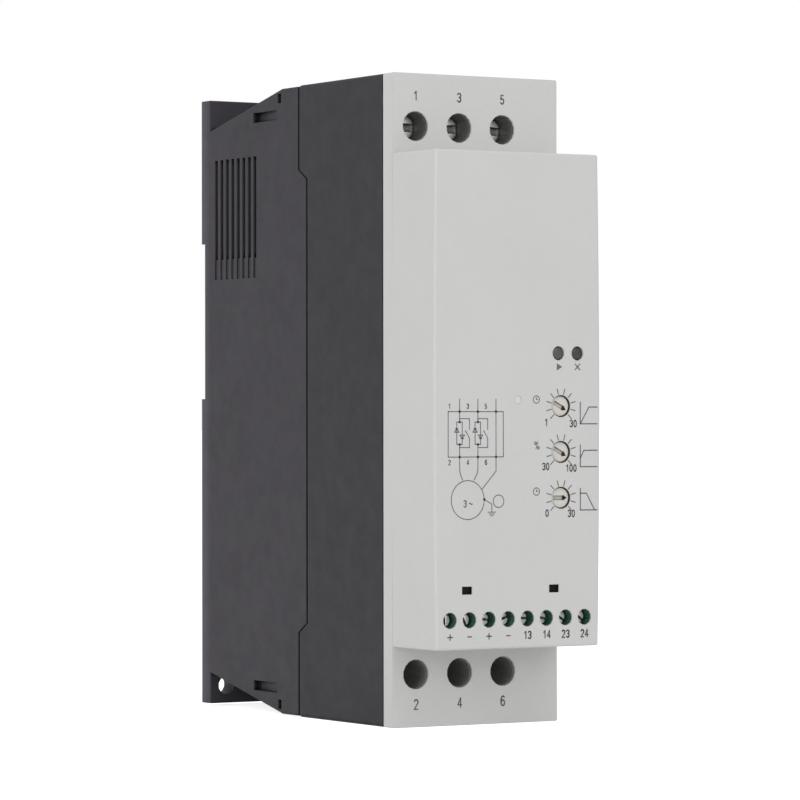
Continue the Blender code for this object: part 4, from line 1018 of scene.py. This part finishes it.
@dataclass
class Lamps(SubAssembly):
    """Indicator lamps: smoked lenses with a shallow dome and a flange on the board."""

    names: tuple[str, ...] = ("run_lamp", "error_lamp")
    finishes: tuple[Finishes, ...] = (Finishes.RUN_LENS, Finishes.ERROR_LENS)
    diameter: float = 3.0 * MM
    flange_height: float = 1.6 * MM
    dome: float = 0.35 * MM
    rings: int = 5
    crown: float = 0.08
    sides: int = 48

    def model(self, flange: float, length: float) -> bpy.types.Object:
        """Model one lens lying on its back, with the top of its dome at the origin.

        Args:
            flange: Radius of the flange.
            length: Length from the flange's foot to the dome's top.

        Returns:
            The finished lens.
        """
        item = Bench.cylinder(flange, -length, self.flange_height - length, self.sides)
        Bench.choose_faces(item, lambda face: face.normal.z > 0.9)
        bpy.ops.mesh.inset(thickness=flange - self.diameter / 2)
        bpy.ops.mesh.extrude_region_move(TRANSFORM_OT_translate={
            "value": (0.0, 0.0, length - self.flange_height - self.dome)})
        angles = [math.radians(90.0 * step / self.rings) for step in range(self.rings + 1)]
        widths = [math.cos(angle) for angle in angles[:-1]] + [self.crown]
        for step in range(self.rings):
            rise = (math.sin(angles[step + 1]) - math.sin(angles[step])) * self.dome
            factor = widths[step + 1] / widths[step]
            bpy.ops.mesh.extrude_region_move(
                TRANSFORM_OT_translate={"value": (0.0, 0.0, rise)})
            bpy.ops.transform.resize(
                value=(factor, factor, 1.0), center_override=(0.0, 0.0, 0.0))
        bpy.ops.object.mode_set(mode="OBJECT")
        Bench.smooth(item)
        return item

    def build(self) -> None:
        """Model one lens and set a copy in place of each packed lamp."""
        low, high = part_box(self.names[0])
        master = self.model((high[0] - low[0]) / 2, high[1] - low[1])
        for name, finish in zip(self.names, self.finishes):
            self.place(self.stand(master, name), name + "_lens", finish, self.body, name,
                       replace=True)
        bpy.data.objects.remove(master, do_unlink=True)


@dataclass
class TrimmerCollars(SubAssembly):
    """Dark collars that line the cover's holes round the trimmer rotors, as painted shade in the
    gap between each rotor and its hole's wall.
    """

    names: tuple[str, ...] = numbered("trimmer_rotor", 3)
    face_y: float = 0.0
    outer_diameter: float = 5.04 * MM
    wall: float = 0.07 * MM
    sunk: float = 0.03 * MM
    depth: float = 3.4 * MM
    sides: int = 64

    def build(self) -> None:
        """Turn one collar and set a copy round each rotor."""
        item = Bench.sleeve(
            self.outer_diameter / 2, -self.depth, -self.sunk, self.wall, self.sides)
        Bench.soften(item, self.wall * 0.25)
        for index, name in enumerate(self.names):
            copy = self.stand(item, name, face_y=self.face_y)
            self.place(copy, "trimmer_shade_collar_%d" % (index + 1), Finishes.COLLAR, self.body,
                       "trimmer_body_%d" % (index + 1))
        bpy.data.objects.remove(item, do_unlink=True)


@dataclass
class GateVestige(SubAssembly):
    """Trimmed stub of the cover's moulding gate, in its shallow dimple."""

    face_y: float = 0.0
    diameter: float = 1.86 * MM
    thickness: float = 0.22 * MM
    sunk: float = 0.02 * MM
    edge_round: float = 0.14 * MM
    sides: int = 40

    def build(self) -> None:
        """Turn the stub with a soft edge and set it in the dimple."""
        item = Bench.cylinder(
            self.diameter / 2, -self.sunk - self.thickness, -self.sunk, self.sides)
        top = -self.sunk
        Bench.choose_edges(item, lambda first, second: min(first.z, second.z) > top - TOUCH)
        bpy.ops.mesh.bevel(offset=self.edge_round, segments=4, affect="EDGES")
        bpy.ops.object.mode_set(mode="OBJECT")
        Bench.smooth(item)
        stub = self.stand(item, "front_cover", face_y=self.face_y)
        self.place(stub, "gate_vestige", Finishes.GATE, self.body, "front_cover")
        bpy.data.objects.remove(item, do_unlink=True)


@dataclass
class VentGrooves(SubAssembly):
    """Shallow floors of the grooves that run on below the side vents' slots."""

    count: int = 8
    pitch: float = 2.76 * MM
    first_forward: float = 8.5 * MM
    width: float = 1.36 * MM
    low: float = 105.04 * MM
    high: float = 109.9 * MM
    foot_depth: float = 0.78 * MM
    floor_depth: float = 0.20 * MM

    def build(self) -> None:
        """Model one groove floor and repeat it along both sides."""
        box_low, box_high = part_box("rear_housing")
        master = Bench.block(
            (self.foot_depth - self.floor_depth, self.width, self.high - self.low),
            (0.0, 0.0, (self.low + self.high) / 2))
        Bench.soften(master, 0.05 * MM)
        inset = (self.foot_depth + self.floor_depth) / 2
        sides = (("left", box_low[0] + inset), ("right", box_high[0] - inset))
        for side, x in sides:
            floors = []
            for index in range(self.count):
                y = box_high[1] - self.first_forward - index * self.pitch
                floors.append(self.repeat(master, Matrix.Translation((x, y, 0.0))))
            self.place(Bench.join(floors), "vent_groove_floors_" + side,
                       Finishes.VENT_GROOVE, self.body, "rear_housing")
        bpy.data.objects.remove(master, do_unlink=True)


@dataclass
class LatchSpring(SubAssembly):
    """Compression spring that the rail latch squeezes as it slides down."""

    node: str = "latch_spring"
    joint: str = "rail_latch_slide"
    travel: float = 2.8 * MM
    wire: float = 0.4 * MM
    wire_sides: int = 12
    turns: int = 8
    steps: int = 24

    def wind(self, reach: float, pitch: float) -> bpy.types.Object:
        """Wind the wire about the Z axis, with its ends closed.

        Args:
            reach: Distance from the axis to the middle of the wire.
            pitch: Rise of one turn.

        Returns:
            The spring, whose wire starts at the height of the origin.
        """
        Bench.clear()
        bpy.ops.mesh.primitive_circle_add(
            vertices=self.wire_sides, radius=self.wire / 2, location=(reach, 0.0, 0.0),
            rotation=(math.radians(90.0), 0.0, 0.0))
        item = bpy.context.object
        bpy.ops.object.transform_apply(location=True, rotation=True, scale=True)
        winding = item.modifiers.new("winding", "SCREW")
        winding.angle = math.radians(360.0)
        winding.screw_offset = pitch
        winding.iterations = self.turns
        winding.steps = self.steps
        winding.render_steps = self.steps
        bpy.ops.object.modifier_apply(modifier=winding.name)
        Bench.choose_all(item)
        bpy.ops.mesh.remove_doubles(threshold=WELD_DISTANCE)
        bpy.ops.mesh.fill_holes(sides=0)
        bpy.ops.mesh.select_all(action="SELECT")
        bpy.ops.mesh.normals_make_consistent(inside=False)
        bpy.ops.object.mode_set(mode="OBJECT")
        Bench.smooth(item)
        return item

    def build(self) -> None:
        """Wind the spring in its pocket."""
        low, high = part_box(self.node)
        length = high[2] - low[2]
        item = self.wind((high[0] - low[0] - self.wire) / 2, (length - self.wire) / self.turns)
        foot = Vector(((low[0] + high[0]) / 2, (low[1] + high[1]) / 2, low[2]))
        item.data.transform(Matrix.Translation(foot + Vector((0.0, 0.0, self.wire / 2))))
        self.place(item, "latch_spring_coil", Finishes.SPRING_WIRE, self.body, self.node,
                   replace=True)
        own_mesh(item)


def arc(middle: Point, reach: Point, start: float, end: float, steps: int = 8) -> list[Point]:
    """Points along a part of an ellipse.

    Args:
        middle: Its middle.
        reach: Its half axes along x and z.
        start: First angle in degrees, from +x toward +z.
        end: Last angle in degrees.
        steps: Number of straight pieces.

    Returns:
        The points, in order.
    """
    angles = [math.radians(start + (end - start) * step / steps) for step in range(steps + 1)]
    return [(middle[0] + reach[0] * math.cos(angle), middle[1] + reach[1] * math.sin(angle))
            for angle in angles]


@dataclass(frozen=True)
class Numerals:
    """Narrow upright numerals of even strokes, in cells one high and half as wide."""

    width: float = 0.45
    space: float = 0.25

    def strokes(self, sign: str) -> list[list[Point]]:
        """Return the strokes of a digit or of the percent sign.

        Args:
            sign: One digit or the percent sign.

        Returns:
            Strokes as lists of points in the cell.
        """
        wide, half = self.width, self.width / 2
        bowl = (half, 0.26)
        if sign == "0":
            return [arc((half, 0.5), (half, 0.5), 0.0, 360.0, 14)]
        if sign == "1":
            return [[(half - 0.14, 0.76), (half + 0.08, 1.0), (half + 0.08, 0.0)]]
        if sign == "2":
            return [arc((half, 0.74), bowl, 170.0, -38.0) + [(0.0, 0.0), (wide, 0.0)]]
        if sign == "3":
            return [arc((half, 0.76), (half, 0.24), 165.0, -90.0),
                    arc((half, 0.27), (half, 0.27), 90.0, -165.0)]
        if sign == "4":
            return [[(wide * 0.74, 0.0), (wide * 0.74, 1.0), (0.0, 0.28), (wide * 1.05, 0.28)]]
        if sign == "5":
            return [[(wide * 0.92, 1.0), (wide * 0.16, 1.0), (wide * 0.08, 0.52)]
                    + arc((half * 0.96, 0.31), (half, 0.31), 135.0, -160.0)]
        if sign == "6":
            return [arc((half, 0.30), (half, 0.30), 0.0, 360.0, 12),
                    [(0.0, 0.34), (wide * 0.03, 0.62)]
                    + arc((half * 1.1, 0.62), (half, 0.38), 165.0, 35.0, 6)]
        return [arc((wide * 0.2, 0.80), (0.14, 0.18), 0.0, 360.0, 10),
                arc((wide * 1.2, 0.20), (0.14, 0.18), 0.0, 360.0, 10),
                [(wide * 0.35, 0.0), (wide * 1.05, 1.0)]]

    def write(self, text: str, middle: Point, height: float) -> list[list[Point]]:
        """Lay out a number about its middle.

        Args:
            text: Digits.
            middle: Middle of the number.
            height: Height of a digit.

        Returns:
            Strokes as lists of points in metres.
        """
        pitch = self.width + self.space
        left = -(len(text) * pitch - self.space) / 2
        placed = []
        for index, sign in enumerate(text):
            for stroke in self.strokes(sign):
                placed.append([
                    (middle[0] + (left + index * pitch + x) * height,
                     middle[1] + (z - 0.5) * height) for x, z in stroke])
        return placed


@dataclass
class Print(SubAssembly):
    """Print on one face of the cover, drawn flat and then stood up on the face.

    Points are (x, z) in metres, as seen from the front. Every mark is a thin closed sheet.
    """

    face_y: float = 0.0
    name: str = "print"
    stroke: float = 0.22 * MM
    digit_stroke: float = 0.32 * MM
    fine_stroke: float = 0.20 * MM
    dot_radius: float = 0.33 * MM
    thickness: float = 0.014 * MM
    lift: float = 0.003 * MM
    numerals: Numerals = Numerals()
    marks: list = field(default_factory=list)

    def line(self, start: Point, end: Point, width: float = 0.0) -> None:
        """Draw a straight stroke.

        Args:
            start: First end.
            end: Second end.
            width: Width, or the usual stroke where none is given.
        """
        width = width or self.stroke
        run = Vector(end) - Vector(start)
        middle = (Vector(end) + Vector(start)) / 2
        Bench.clear()
        bpy.ops.mesh.primitive_plane_add(size=1.0)
        mark = bpy.context.object
        turn = Matrix.Rotation(math.atan2(run.y, run.x), 4, "Z")
        size = Matrix.Diagonal((run.length + width * 0.5, width, 1.0, 1.0))
        mark.data.transform(Matrix.Translation((middle.x, middle.y, 0.0)) @ turn @ size)
        self.marks.append(mark)

    def path(self, points: Sequence[Point], width: float = 0.0) -> None:
        """Draw strokes from point to point.

        Args:
            points: Points in order.
            width: Width, or the usual stroke where none is given.
        """
        for start, end in zip(points, points[1:]):
            self.line(start, end, width)

    def ring(self, middle: Point, radius: float, width: float = 0.0, sides: int = 56) -> None:
        """Draw a circle.

        Args:
            middle: Its middle.
            radius: Radius of the middle of its line.
            width: Width of its line, or the usual stroke where none is given.
            sides: Number of sides.
        """
        width = width or self.stroke
        Bench.clear()
        bpy.ops.mesh.primitive_circle_add(
            vertices=sides, radius=radius + width / 2, fill_type="NOTHING")
        mark = bpy.context.object
        Bench.choose_all(mark)
        bpy.ops.mesh.extrude_edges_move()
        inner = (radius - width / 2) / (radius + width / 2)
        bpy.ops.transform.resize(value=(inner, inner, 1.0), center_override=(0.0, 0.0, 0.0))
        bpy.ops.object.mode_set(mode="OBJECT")
        mark.data.transform(Matrix.Translation((middle[0], middle[1], 0.0)))
        self.marks.append(mark)

    def patch(self, middle: Point, radius: float, corners: int, turn: float = 0.0) -> None:
        """Draw a filled regular shape.

        Args:
            middle: Its middle.
            radius: Distance of its corners from the middle.
            corners: Number of corners.
            turn: Angle of its first corner in degrees, from the shape with a corner at the top.
        """
        Bench.clear()
        bpy.ops.mesh.primitive_circle_add(vertices=corners, radius=radius, fill_type="NGON")
        mark = bpy.context.object
        mark.data.transform(
            Matrix.Translation((middle[0], middle[1], 0.0))
            @ Matrix.Rotation(math.radians(turn), 4, "Z"))
        self.marks.append(mark)

    def dot(self, middle: Point) -> None:
        """Draw the dot of a joint between two lines."""
        self.patch(middle, self.dot_radius, 12)

    def number(self, text: str, middle: Point, height: float, stroke: float = 0.0) -> None:
        """Write a plain number.

        Args:
            text: Digits, or the percent sign.
            middle: Middle of the number.
            height: Height of a digit.
            stroke: Width of its strokes, or the usual one where none is given.
        """
        for points in self.numerals.write(text, middle, height):
            self.path(points, stroke or self.digit_stroke)

    def finish_print(self) -> None:
        """Join the marks, give them their thickness and set them on the face."""
        item = Bench.join(self.marks)
        Bench.choose_all(item)
        bpy.ops.mesh.remove_doubles(threshold=WELD_DISTANCE)
        bpy.ops.mesh.normals_make_consistent(inside=False)
        bpy.ops.object.mode_set(mode="OBJECT")
        if sum(face.normal.z for face in item.data.polygons) < 0.0:
            item.data.flip_normals()
        solid = item.modifiers.new("ink", "SOLIDIFY")
        solid.thickness = self.thickness
        solid.offset = 1.0
        bpy.ops.object.modifier_apply(modifier=solid.name)
        item.data.transform(face_matrix(Vector((0.0, self.face_y - self.lift, 0.0))))
        self.place(item, self.name, Finishes.INK, self.body, "front_cover")


@dataclass
class PowerNumbers(Print):
    """Plain numbers beside the power terminals on the cover's lower step."""

    upper: tuple[str, ...] = ("1", "3", "5")
    lower: tuple[str, ...] = ("2", "4", "6")
    upper_gap: float = 7.0 * MM
    lower_gap: float = 6.9 * MM
    upper_height: float = 2.0 * MM
    lower_height: float = 2.2 * MM

    def build(self) -> None:
        """Write a number above each line terminal and below each load terminal."""
        rows = (("line", self.upper, self.upper_gap, self.upper_height),
                ("load", self.lower, -self.lower_gap, self.lower_height))
        for side, texts, gap, height in rows:
            for index, text in enumerate(texts):
                low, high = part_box("%s_clamp_%d" % (side, index + 1))
                x, z = (low[0] + high[0]) / 2, (low[2] + high[2]) / 2
                self.number(text, (x, z + gap), height)
        self.finish_print()


@dataclass(frozen=True)
class DialPrint:
    """What is printed round one trimmer, with places counted from its middle."""

    low_text: str
    low_place: Point
    high_text: str
    high_place: Point
    ramp_foot: float
    ramp: tuple[Point, ...]
    timed: bool


@dataclass(frozen=True)
class CircuitSize:
    """Places of the printed circuit sketch, in metres from the cover's middle and foot."""

    lines: tuple[float, ...] = (-15.72 * MM, -10.84 * MM, -5.98 * MM)
    line_top: float = 75.2 * MM
    frame_low: Point = (-18.77 * MM, 62.07 * MM)
    frame_high: Point = (-4.02 * MM, 72.33 * MM)
    loop_top: float = 69.98 * MM
    loop_foot: float = 64.91 * MM
    loop_left: float = -0.76 * MM
    loop_right: float = 0.69 * MM
    valve_up: float = 68.05 * MM
    valve_down: float = 66.67 * MM
    valve_size: float = 0.62 * MM
    bypass_top: float = 70.73 * MM
    bypass_foot: float = 64.21 * MM
    bypass_side: float = 2.62 * MM
    contact_top: float = 68.27 * MM
    contact_foot: float = 66.35 * MM
    blade_side: float = 1.53 * MM
    blade_top: float = 68.05 * MM
    bend: float = 59.3 * MM
    feet: tuple[Point, ...] = (
        (-14.96 * MM, 56.83 * MM), (-11.90 * MM, 56.83 * MM), (-9.75 * MM, 54.75 * MM))
    knees: tuple[Point, ...] = ((0.22, 0.42), (0.22, 0.42), (0.0, 0.10))
    motor: Point = (-13.58 * MM, 52.35 * MM)
    motor_radius: float = 4.40 * MM
    phases_place: Point = (-14.30 * MM, 51.50 * MM)
    phases_height: float = 1.5 * MM
    wave_place: Point = (-12.75 * MM, 51.50 * MM)
    wave_length: float = 0.9 * MM
    case_dot: Point = (-9.15 * MM, 52.45 * MM)
    earth_lead: Point = (-7.12 * MM, 51.35 * MM)
    earth_top: float = 49.55 * MM
    earth_pitch: float = 0.40 * MM
    earth_widths: tuple[float, ...] = (1.10 * MM, 0.74 * MM, 0.38 * MM)
    earth_ring: Point = (-5.30 * MM, 52.00 * MM)
    earth_radius: float = 1.42 * MM
    upper_numbers: float = 73.55 * MM
    lower_numbers: float = 60.85 * MM
    number_shift: float = -2.7 * MM
    number_height: float = 1.05 * MM


@dataclass
class FacePrint(Print):
    """Print on the raised front: terminal numbers, dials, ramp signs and circuit sketch."""

    control_texts: tuple[str, ...] = ("+", "-", "+", "-", "13", "14", "23", "24")
    control_gap: float = 3.75 * MM
    control_height: float = 1.65 * MM
    plus_size: float = 1.35 * MM
    minus_size: float = 1.05 * MM
    bold: float = 0.28 * MM
    tick_count: int = 10
    tick_span: float = 135.0
    tick_inner: float = 2.75 * MM
    tick_outer: float = 4.05 * MM
    tick_width: float = 0.25 * MM
    dial_height: float = 1.52 * MM
    sign_x: float = 17.0 * MM
    sign_width: float = 4.7 * MM
    sign_height: float = 5.0 * MM
    unit_place: Point = (-6.75 * MM, 1.5 * MM)
    clock_radius: float = 0.85 * MM
    lamp_sign_drop: float = 3.1 * MM
    run_sign_radius: float = 1.0 * MM
    fault_sign_arm: float = 0.68 * MM
    dial_prints: tuple[DialPrint, ...] = (
        DialPrint("1", (-4.05 * MM, -3.75 * MM), "30", (3.35 * MM, -4.0 * MM), -4.05 * MM,
                  ((0.0, 0.0), (0.51, 0.77), (1.0, 0.77)), True),
        DialPrint("30", (-4.2 * MM, -3.3 * MM), "100", (2.75 * MM, -3.7 * MM), -3.4 * MM,
                  ((0.0, 0.40), (0.21, 0.75), (1.0, 0.75)), False),
        DialPrint("0", (-3.85 * MM, -3.45 * MM), "30", (2.8 * MM, -3.6 * MM), -2.85 * MM,
                  ((0.0, 0.77), (0.35, 0.77), (0.84, 0.0)), True))
    circuit: CircuitSize = CircuitSize()

    def middle_of(self, node: str) -> Vector:
        """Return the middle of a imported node's box as (x, z)."""
        low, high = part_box(node)
        return Vector(((low[0] + high[0]) / 2, (low[2] + high[2]) / 2))

    def ticks(self, middle: Vector) -> None:
        """Draw a trimmer's ticks.

        Args:
            middle: Middle of the rotor.
        """
        for step in range(self.tick_count):
            angle = math.radians(
                -self.tick_span + 2 * self.tick_span * step / (self.tick_count - 1))
            way = Vector((math.sin(angle), math.cos(angle)))
            self.line(tuple(middle + way * self.tick_inner),
                      tuple(middle + way * self.tick_outer), self.tick_width)

    def clock(self, middle: Point) -> None:
        """Draw a small clock, the sign of a time setting.

        Args:
            middle: Its middle.
        """
        self.ring(middle, self.clock_radius, sides=24)
        self.path(((middle[0], middle[1] + self.clock_radius * 0.6), middle,
                   (middle[0] + self.clock_radius * 0.5, middle[1])), self.fine_stroke)

    def ramp_sign(self, foot: float, points: Sequence[Point]) -> None:
        """Draw the two axes and the curve of a ramp.

        Args:
            foot: Height of the lower axis.
            points: Curve as shares of the sign's width and height.
        """
        left = self.sign_x
        self.path(((left, foot + self.sign_height), (left, foot),
                   (left + self.sign_width, foot)), self.bold)
        self.path([(left + x * self.sign_width, foot + z * self.sign_height)
                   for x, z in points], self.bold)

    def dials(self) -> None:
        """Draw the three trimmers' dials with their ramp signs and unit signs."""
        for index, dial in enumerate(self.dial_prints):
            middle = self.middle_of("trimmer_rotor_%d" % (index + 1))
            self.ticks(middle)
            for text, place in ((dial.low_text, dial.low_place),
                                (dial.high_text, dial.high_place)):
                self.number(text, tuple(middle + Vector(place)), self.dial_height, self.bold)
            self.ramp_sign(middle.y + dial.ramp_foot, dial.ramp)
            unit = tuple(middle + Vector(self.unit_place))
            if dial.timed:
                self.clock(unit)
            else:
                self.number("%", unit, self.dial_height * 1.15, self.fine_stroke)

    def lamp_signs(self) -> None:
        """Draw a run triangle under the first lamp and a fault cross under the second."""
        run = self.middle_of("run_lamp")
        fault = self.middle_of("error_lamp")
        self.patch((run.x, run.y - self.lamp_sign_drop), self.run_sign_radius, 3, -90.0)
        arm, z = self.fault_sign_arm, fault.y - self.lamp_sign_drop
        for side in (-arm, arm):
            self.line((fault.x - arm, z - side), (fault.x + arm, z + side), self.bold)

    def valve(self, x: float, z: float, way: float) -> None:
        """Draw a diode sign on its line.

        Args:
            x: Line that it stands on.
            z: Height of its middle.
            way: One where it points up, and minus one where it points down.
        """
        size = self.circuit.valve_size
        foot, tip = z - way * size * 0.6, z + way * size * 0.7
        self.path(((x - size, foot), (x + size, foot), (x, tip), (x - size, foot)))
        self.line((x - size * 0.6, tip), (x + size * 0.6, tip))

    def switched_line(self, x: float) -> None:
        """Draw one switched line: two opposed valves in a loop, with a bypass contact.

        Args:
            x: Place of the line.
        """
        size = self.circuit
        left, right = x + size.loop_left, x + size.loop_right
        side = x + size.bypass_side
        self.path(((x, size.line_top), (x, size.loop_top), (left, size.loop_top),
                   (left, size.loop_foot), (x, size.loop_foot), (x, size.bend)))
        self.path(((x, size.loop_top), (right, size.loop_top), (right, size.loop_foot),
                   (x, size.loop_foot)))
        self.valve(left, size.valve_up, 1.0)
        self.valve(right, size.valve_down, -1.0)
        self.path(((x, size.bypass_top), (side, size.bypass_top), (side, size.contact_top)))
        self.path(((x + size.blade_side, size.blade_top), (side, size.contact_foot),
                   (side, size.bypass_foot), (x, size.bypass_foot)))
        self.dot((x, size.loop_top))
        self.dot((x, size.loop_foot))

    def wave(self, middle: Point, width: float) -> None:
        """Draw a small sine wave, the sign of alternating current.

        Args:
            middle: Its middle.
            width: Its length.
        """
        steps = 8
        points = [(middle[0] + width * (step / steps - 0.5),
                   middle[1] + width * 0.16 * math.sin(2 * math.pi * step / steps))
                  for step in range(steps + 1)]
        self.path(points, self.fine_stroke)

    def sketch(self) -> None:
        """Draw the circuit: three lines through the switching frame to a motor."""
        size = self.circuit
        left, low = size.frame_low
        right, high = size.frame_high
        self.path(((left, low), (right, low), (right, high), (left, high), (left, low)))
        self.switched_line(size.lines[0])
        self.switched_line(size.lines[1])
        self.line((size.lines[2], size.line_top), (size.lines[2], size.bend))
        for x, foot, share in zip(size.lines, size.feet, size.knees):
            self.dot((x, high))
            self.dot((x, low))
            knee = (x + (foot[0] - x) * share[0], size.bend + (foot[1] - size.bend) * share[1])
            self.path(((x, size.bend), knee, foot))
        self.ring(size.motor, size.motor_radius)
        self.number("3", size.phases_place, size.phases_height, self.stroke)
        self.wave(size.wave_place, size.wave_length)
        self.earth()

    def circuit_numbers(self) -> None:
        """Write the small terminal numbers beside the three lines."""
        size = self.circuit
        for index, x in enumerate(size.lines):
            for number, z in ((2 * index + 1, size.upper_numbers),
                              (2 * index + 2, size.lower_numbers)):
                self.number(str(number), (x + size.number_shift, z), size.number_height,
                            self.fine_stroke)

    def earth(self) -> None:
        """Draw the motor's earth lead with its bars and the protection ring."""
        size = self.circuit
        x = size.earth_lead[0]
        self.dot(size.case_dot)
        self.path((size.case_dot, size.earth_lead, (x, size.earth_top)))
        for step, half in enumerate(size.earth_widths):
            row = size.earth_top - step * size.earth_pitch
            self.line((x - half, row), (x + half, row), self.fine_stroke)
        self.ring(size.earth_ring, size.earth_radius, sides=32)

    def terminal_numbers(self) -> None:
        """Write a number or a sign under each control terminal."""
        for index, text in enumerate(self.control_texts):
            middle = self.middle_of("control_clamp_%d" % (index + 1))
            x, z = middle.x, middle.y - self.control_gap
            if text not in ("+", "-"):
                self.number(text, (x, z), self.control_height)
                continue
            reach = (self.plus_size if text == "+" else self.minus_size) / 2
            self.line((x - reach, z), (x + reach, z), self.digit_stroke)
            if text == "+":
                self.line((x, z - reach), (x, z + reach), self.digit_stroke)

    def build(self) -> None:
        """Draw everything that is printed on the raised front."""
        self.terminal_numbers()
        self.dials()
        self.lamp_signs()
        self.sketch()
        self.circuit_numbers()
        self.finish_print()


@dataclass(frozen=True)
class Softbox:
    """Area light at a place, pointed at the object's middle."""

    name: str
    place: tuple[float, float, float]
    size: float
    power: float


@dataclass
class Studio:
    """Pale floor, soft lights and the camera of the photograph."""

    lens: float = 184.38
    azimuth: float = 31.297
    elevation: float = -0.306
    roll: float = -0.053
    distance: float = 979.424 * MM
    shift_right: float = -1.698 * MM
    shift_up: float = -0.257 * MM
    target: tuple[float, float, float] = (0.0, 0.0, 75.0 * MM)
    floor_size: float = 60.0
    floor_colour: Colour = (0.93, 0.93, 0.93)
    ambient: float = 0.465
    floor_glow: float = 0.80
    lights: tuple[Softbox, ...] = (
        Softbox("front_softbox", (0.25, -1.7, 1.0), 1.4, 8.1),
        Softbox("low_softbox", (-0.6, -1.6, 0.3), 0.8, 3.1),
        Softbox("left_softbox", (-1.9, -0.5, 0.9), 1.4, 13.7),
        Softbox("top_softbox", (0.0, 0.2, 2.0), 1.6, 8.5))

    def camera(self) -> None:
        """Add the camera that the photograph was fitted with."""
        azimuth, elevation = math.radians(self.azimuth), math.radians(self.elevation)
        back = Vector((-math.sin(azimuth) * math.cos(elevation),
                       -math.cos(azimuth) * math.cos(elevation), math.sin(elevation)))
        right = Vector((math.cos(azimuth), -math.sin(azimuth), 0.0))
        up = back.cross(right)
        place = (Vector(self.target) + back * self.distance - right * self.shift_right
                 - up * self.shift_up)
        turn = Matrix((right, up, back)).transposed()
        turn = turn @ Matrix.Rotation(math.radians(self.roll), 3, "Z")
        data = bpy.data.cameras.new("photo_camera")
        data.lens = self.lens
        data.sensor_width = 36.0
        data.clip_start = 0.05
        data.clip_end = 100.0
        camera = bpy.data.objects.new("photo_camera", data)
        camera.matrix_world = Matrix.Translation(place) @ turn.to_4x4()
        bpy.context.scene.collection.objects.link(camera)
        bpy.context.scene.camera = camera

    def light_up(self) -> None:
        """Add the soft lights."""
        for box in self.lights:
            data = bpy.data.lights.new(box.name, "AREA")
            data.shape = "SQUARE"
            data.size = box.size
            data.energy = box.power
            lamp = bpy.data.objects.new(box.name, data)
            lamp.location = box.place
            way = Vector(self.target) - Vector(box.place)
            lamp.rotation_euler = way.to_track_quat("-Z", "Y").to_euler()
            bpy.context.scene.collection.objects.link(lamp)

    def surroundings(self) -> None:
        """Make the world white to the camera and in reflections, and dimmer as a light."""
        world = bpy.data.worlds.new("studio")
        world.use_nodes = True
        tree = world.node_tree
        tree.nodes.clear()
        strength = tree.nodes.new("ShaderNodeMapRange")
        strength.inputs["To Min"].default_value = self.ambient
        strength.inputs["To Max"].default_value = 1.0
        tree.links.new(background_rays(tree), strength.inputs["Value"])
        background = tree.nodes.new("ShaderNodeBackground")
        background.inputs["Color"].default_value = (1.0, 1.0, 1.0, 1.0)
        tree.links.new(strength.outputs["Result"], background.inputs["Strength"])
        output = tree.nodes.new("ShaderNodeOutputWorld")
        tree.links.new(background.outputs[0], output.inputs["Surface"])
        bpy.context.scene.world = world

    def floor(self) -> None:
        """Lay a pale paper floor that looks white to the camera and keeps the shadow."""
        Bench.clear()
        bpy.ops.mesh.primitive_plane_add(size=self.floor_size)
        item = bpy.context.object
        item.name = "floor"
        graph = ShaderGraph("paper_floor")
        cloud = graph.noise(0.4, 2.0)
        tint = graph.blend_colours(
            graph.spread(cloud, 0.0, 1.0), shade(self.floor_colour, 0.99), self.floor_colour)
        graph.paint(tint)
        graph.set(Roughness=0.9, Specular_IOR_Level=0.1)
        glow = graph.reckon("MULTIPLY", background_rays(graph.tree), self.floor_glow)
        graph.set(Emission_Color=(1.0, 1.0, 1.0, 1.0))
        graph.join(glow, graph.shader.inputs["Emission Strength"])
        item.data.materials.append(graph.material)

    def build(self) -> None:
        """Set up the whole studio."""
        self.camera()
        self.light_up()
        self.surroundings()
        self.floor()
        bpy.context.scene.view_settings.view_transform = "Standard"
        LOG.info("studio with %d lights", len(self.lights))


POWER_SCREW = ScrewSize(
    head_diameter=6.0 * MM, head_height=2.2 * MM, shaft_diameter=3.9 * MM,
    shaft_length=6.6 * MM, slot_width=2.0 * MM, slot_depth=1.3 * MM,
    thread_pitch=0.7 * MM, rim_round=1.2 * MM, edge_break=0.12 * MM)
CONTROL_SCREW = ScrewSize(
    head_diameter=3.0 * MM, head_height=1.1 * MM, shaft_diameter=1.8 * MM,
    shaft_length=3.2 * MM, slot_width=0.6 * MM, slot_depth=0.65 * MM,
    thread_pitch=0.5 * MM, rim_round=0.22 * MM, edge_break=0.05 * MM)


def main() -> None:
    """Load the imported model, dress it and set up the studio."""
    logging.basicConfig(level=logging.INFO, format="%(name)s %(message)s")
    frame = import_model()
    cover_low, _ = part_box("front_cover")
    step_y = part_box("line_terminal_block")[0][1] - 0.9 * MM
    assemblies: list[SubAssembly] = [
        PackedNodes(nodes=frame["nodes"]),
        TerminalScrews(names=numbered("line_screw", 3), angles=(3.0, -2.0, 5.0),
                       size=POWER_SCREW),
        TerminalScrews(names=numbered("load_screw", 3), angles=(20.0, -35.0, 60.0),
                       size=POWER_SCREW),
        TerminalScrews(names=numbered("control_screw", 8),
                       angles=(86.0, 66.0, 8.0, -20.0, 2.0, 14.0, 34.0, 38.0),
                       size=CONTROL_SCREW, finish=Finishes.BRIGHT_NICKEL),
        TrimmerRotors(),
        TrimmerCollars(face_y=cover_low[1]),
        GateVestige(face_y=cover_low[1]),
        VentGrooves(),
        LatchSpring(),
        Lamps(),
        PowerNumbers(face_y=step_y, name="power_numbers"),
        FacePrint(face_y=cover_low[1], name="face_print")]
    for assembly in assemblies:
        assembly.build()
    Studio().build()


if __name__ == "__main__":
    main()
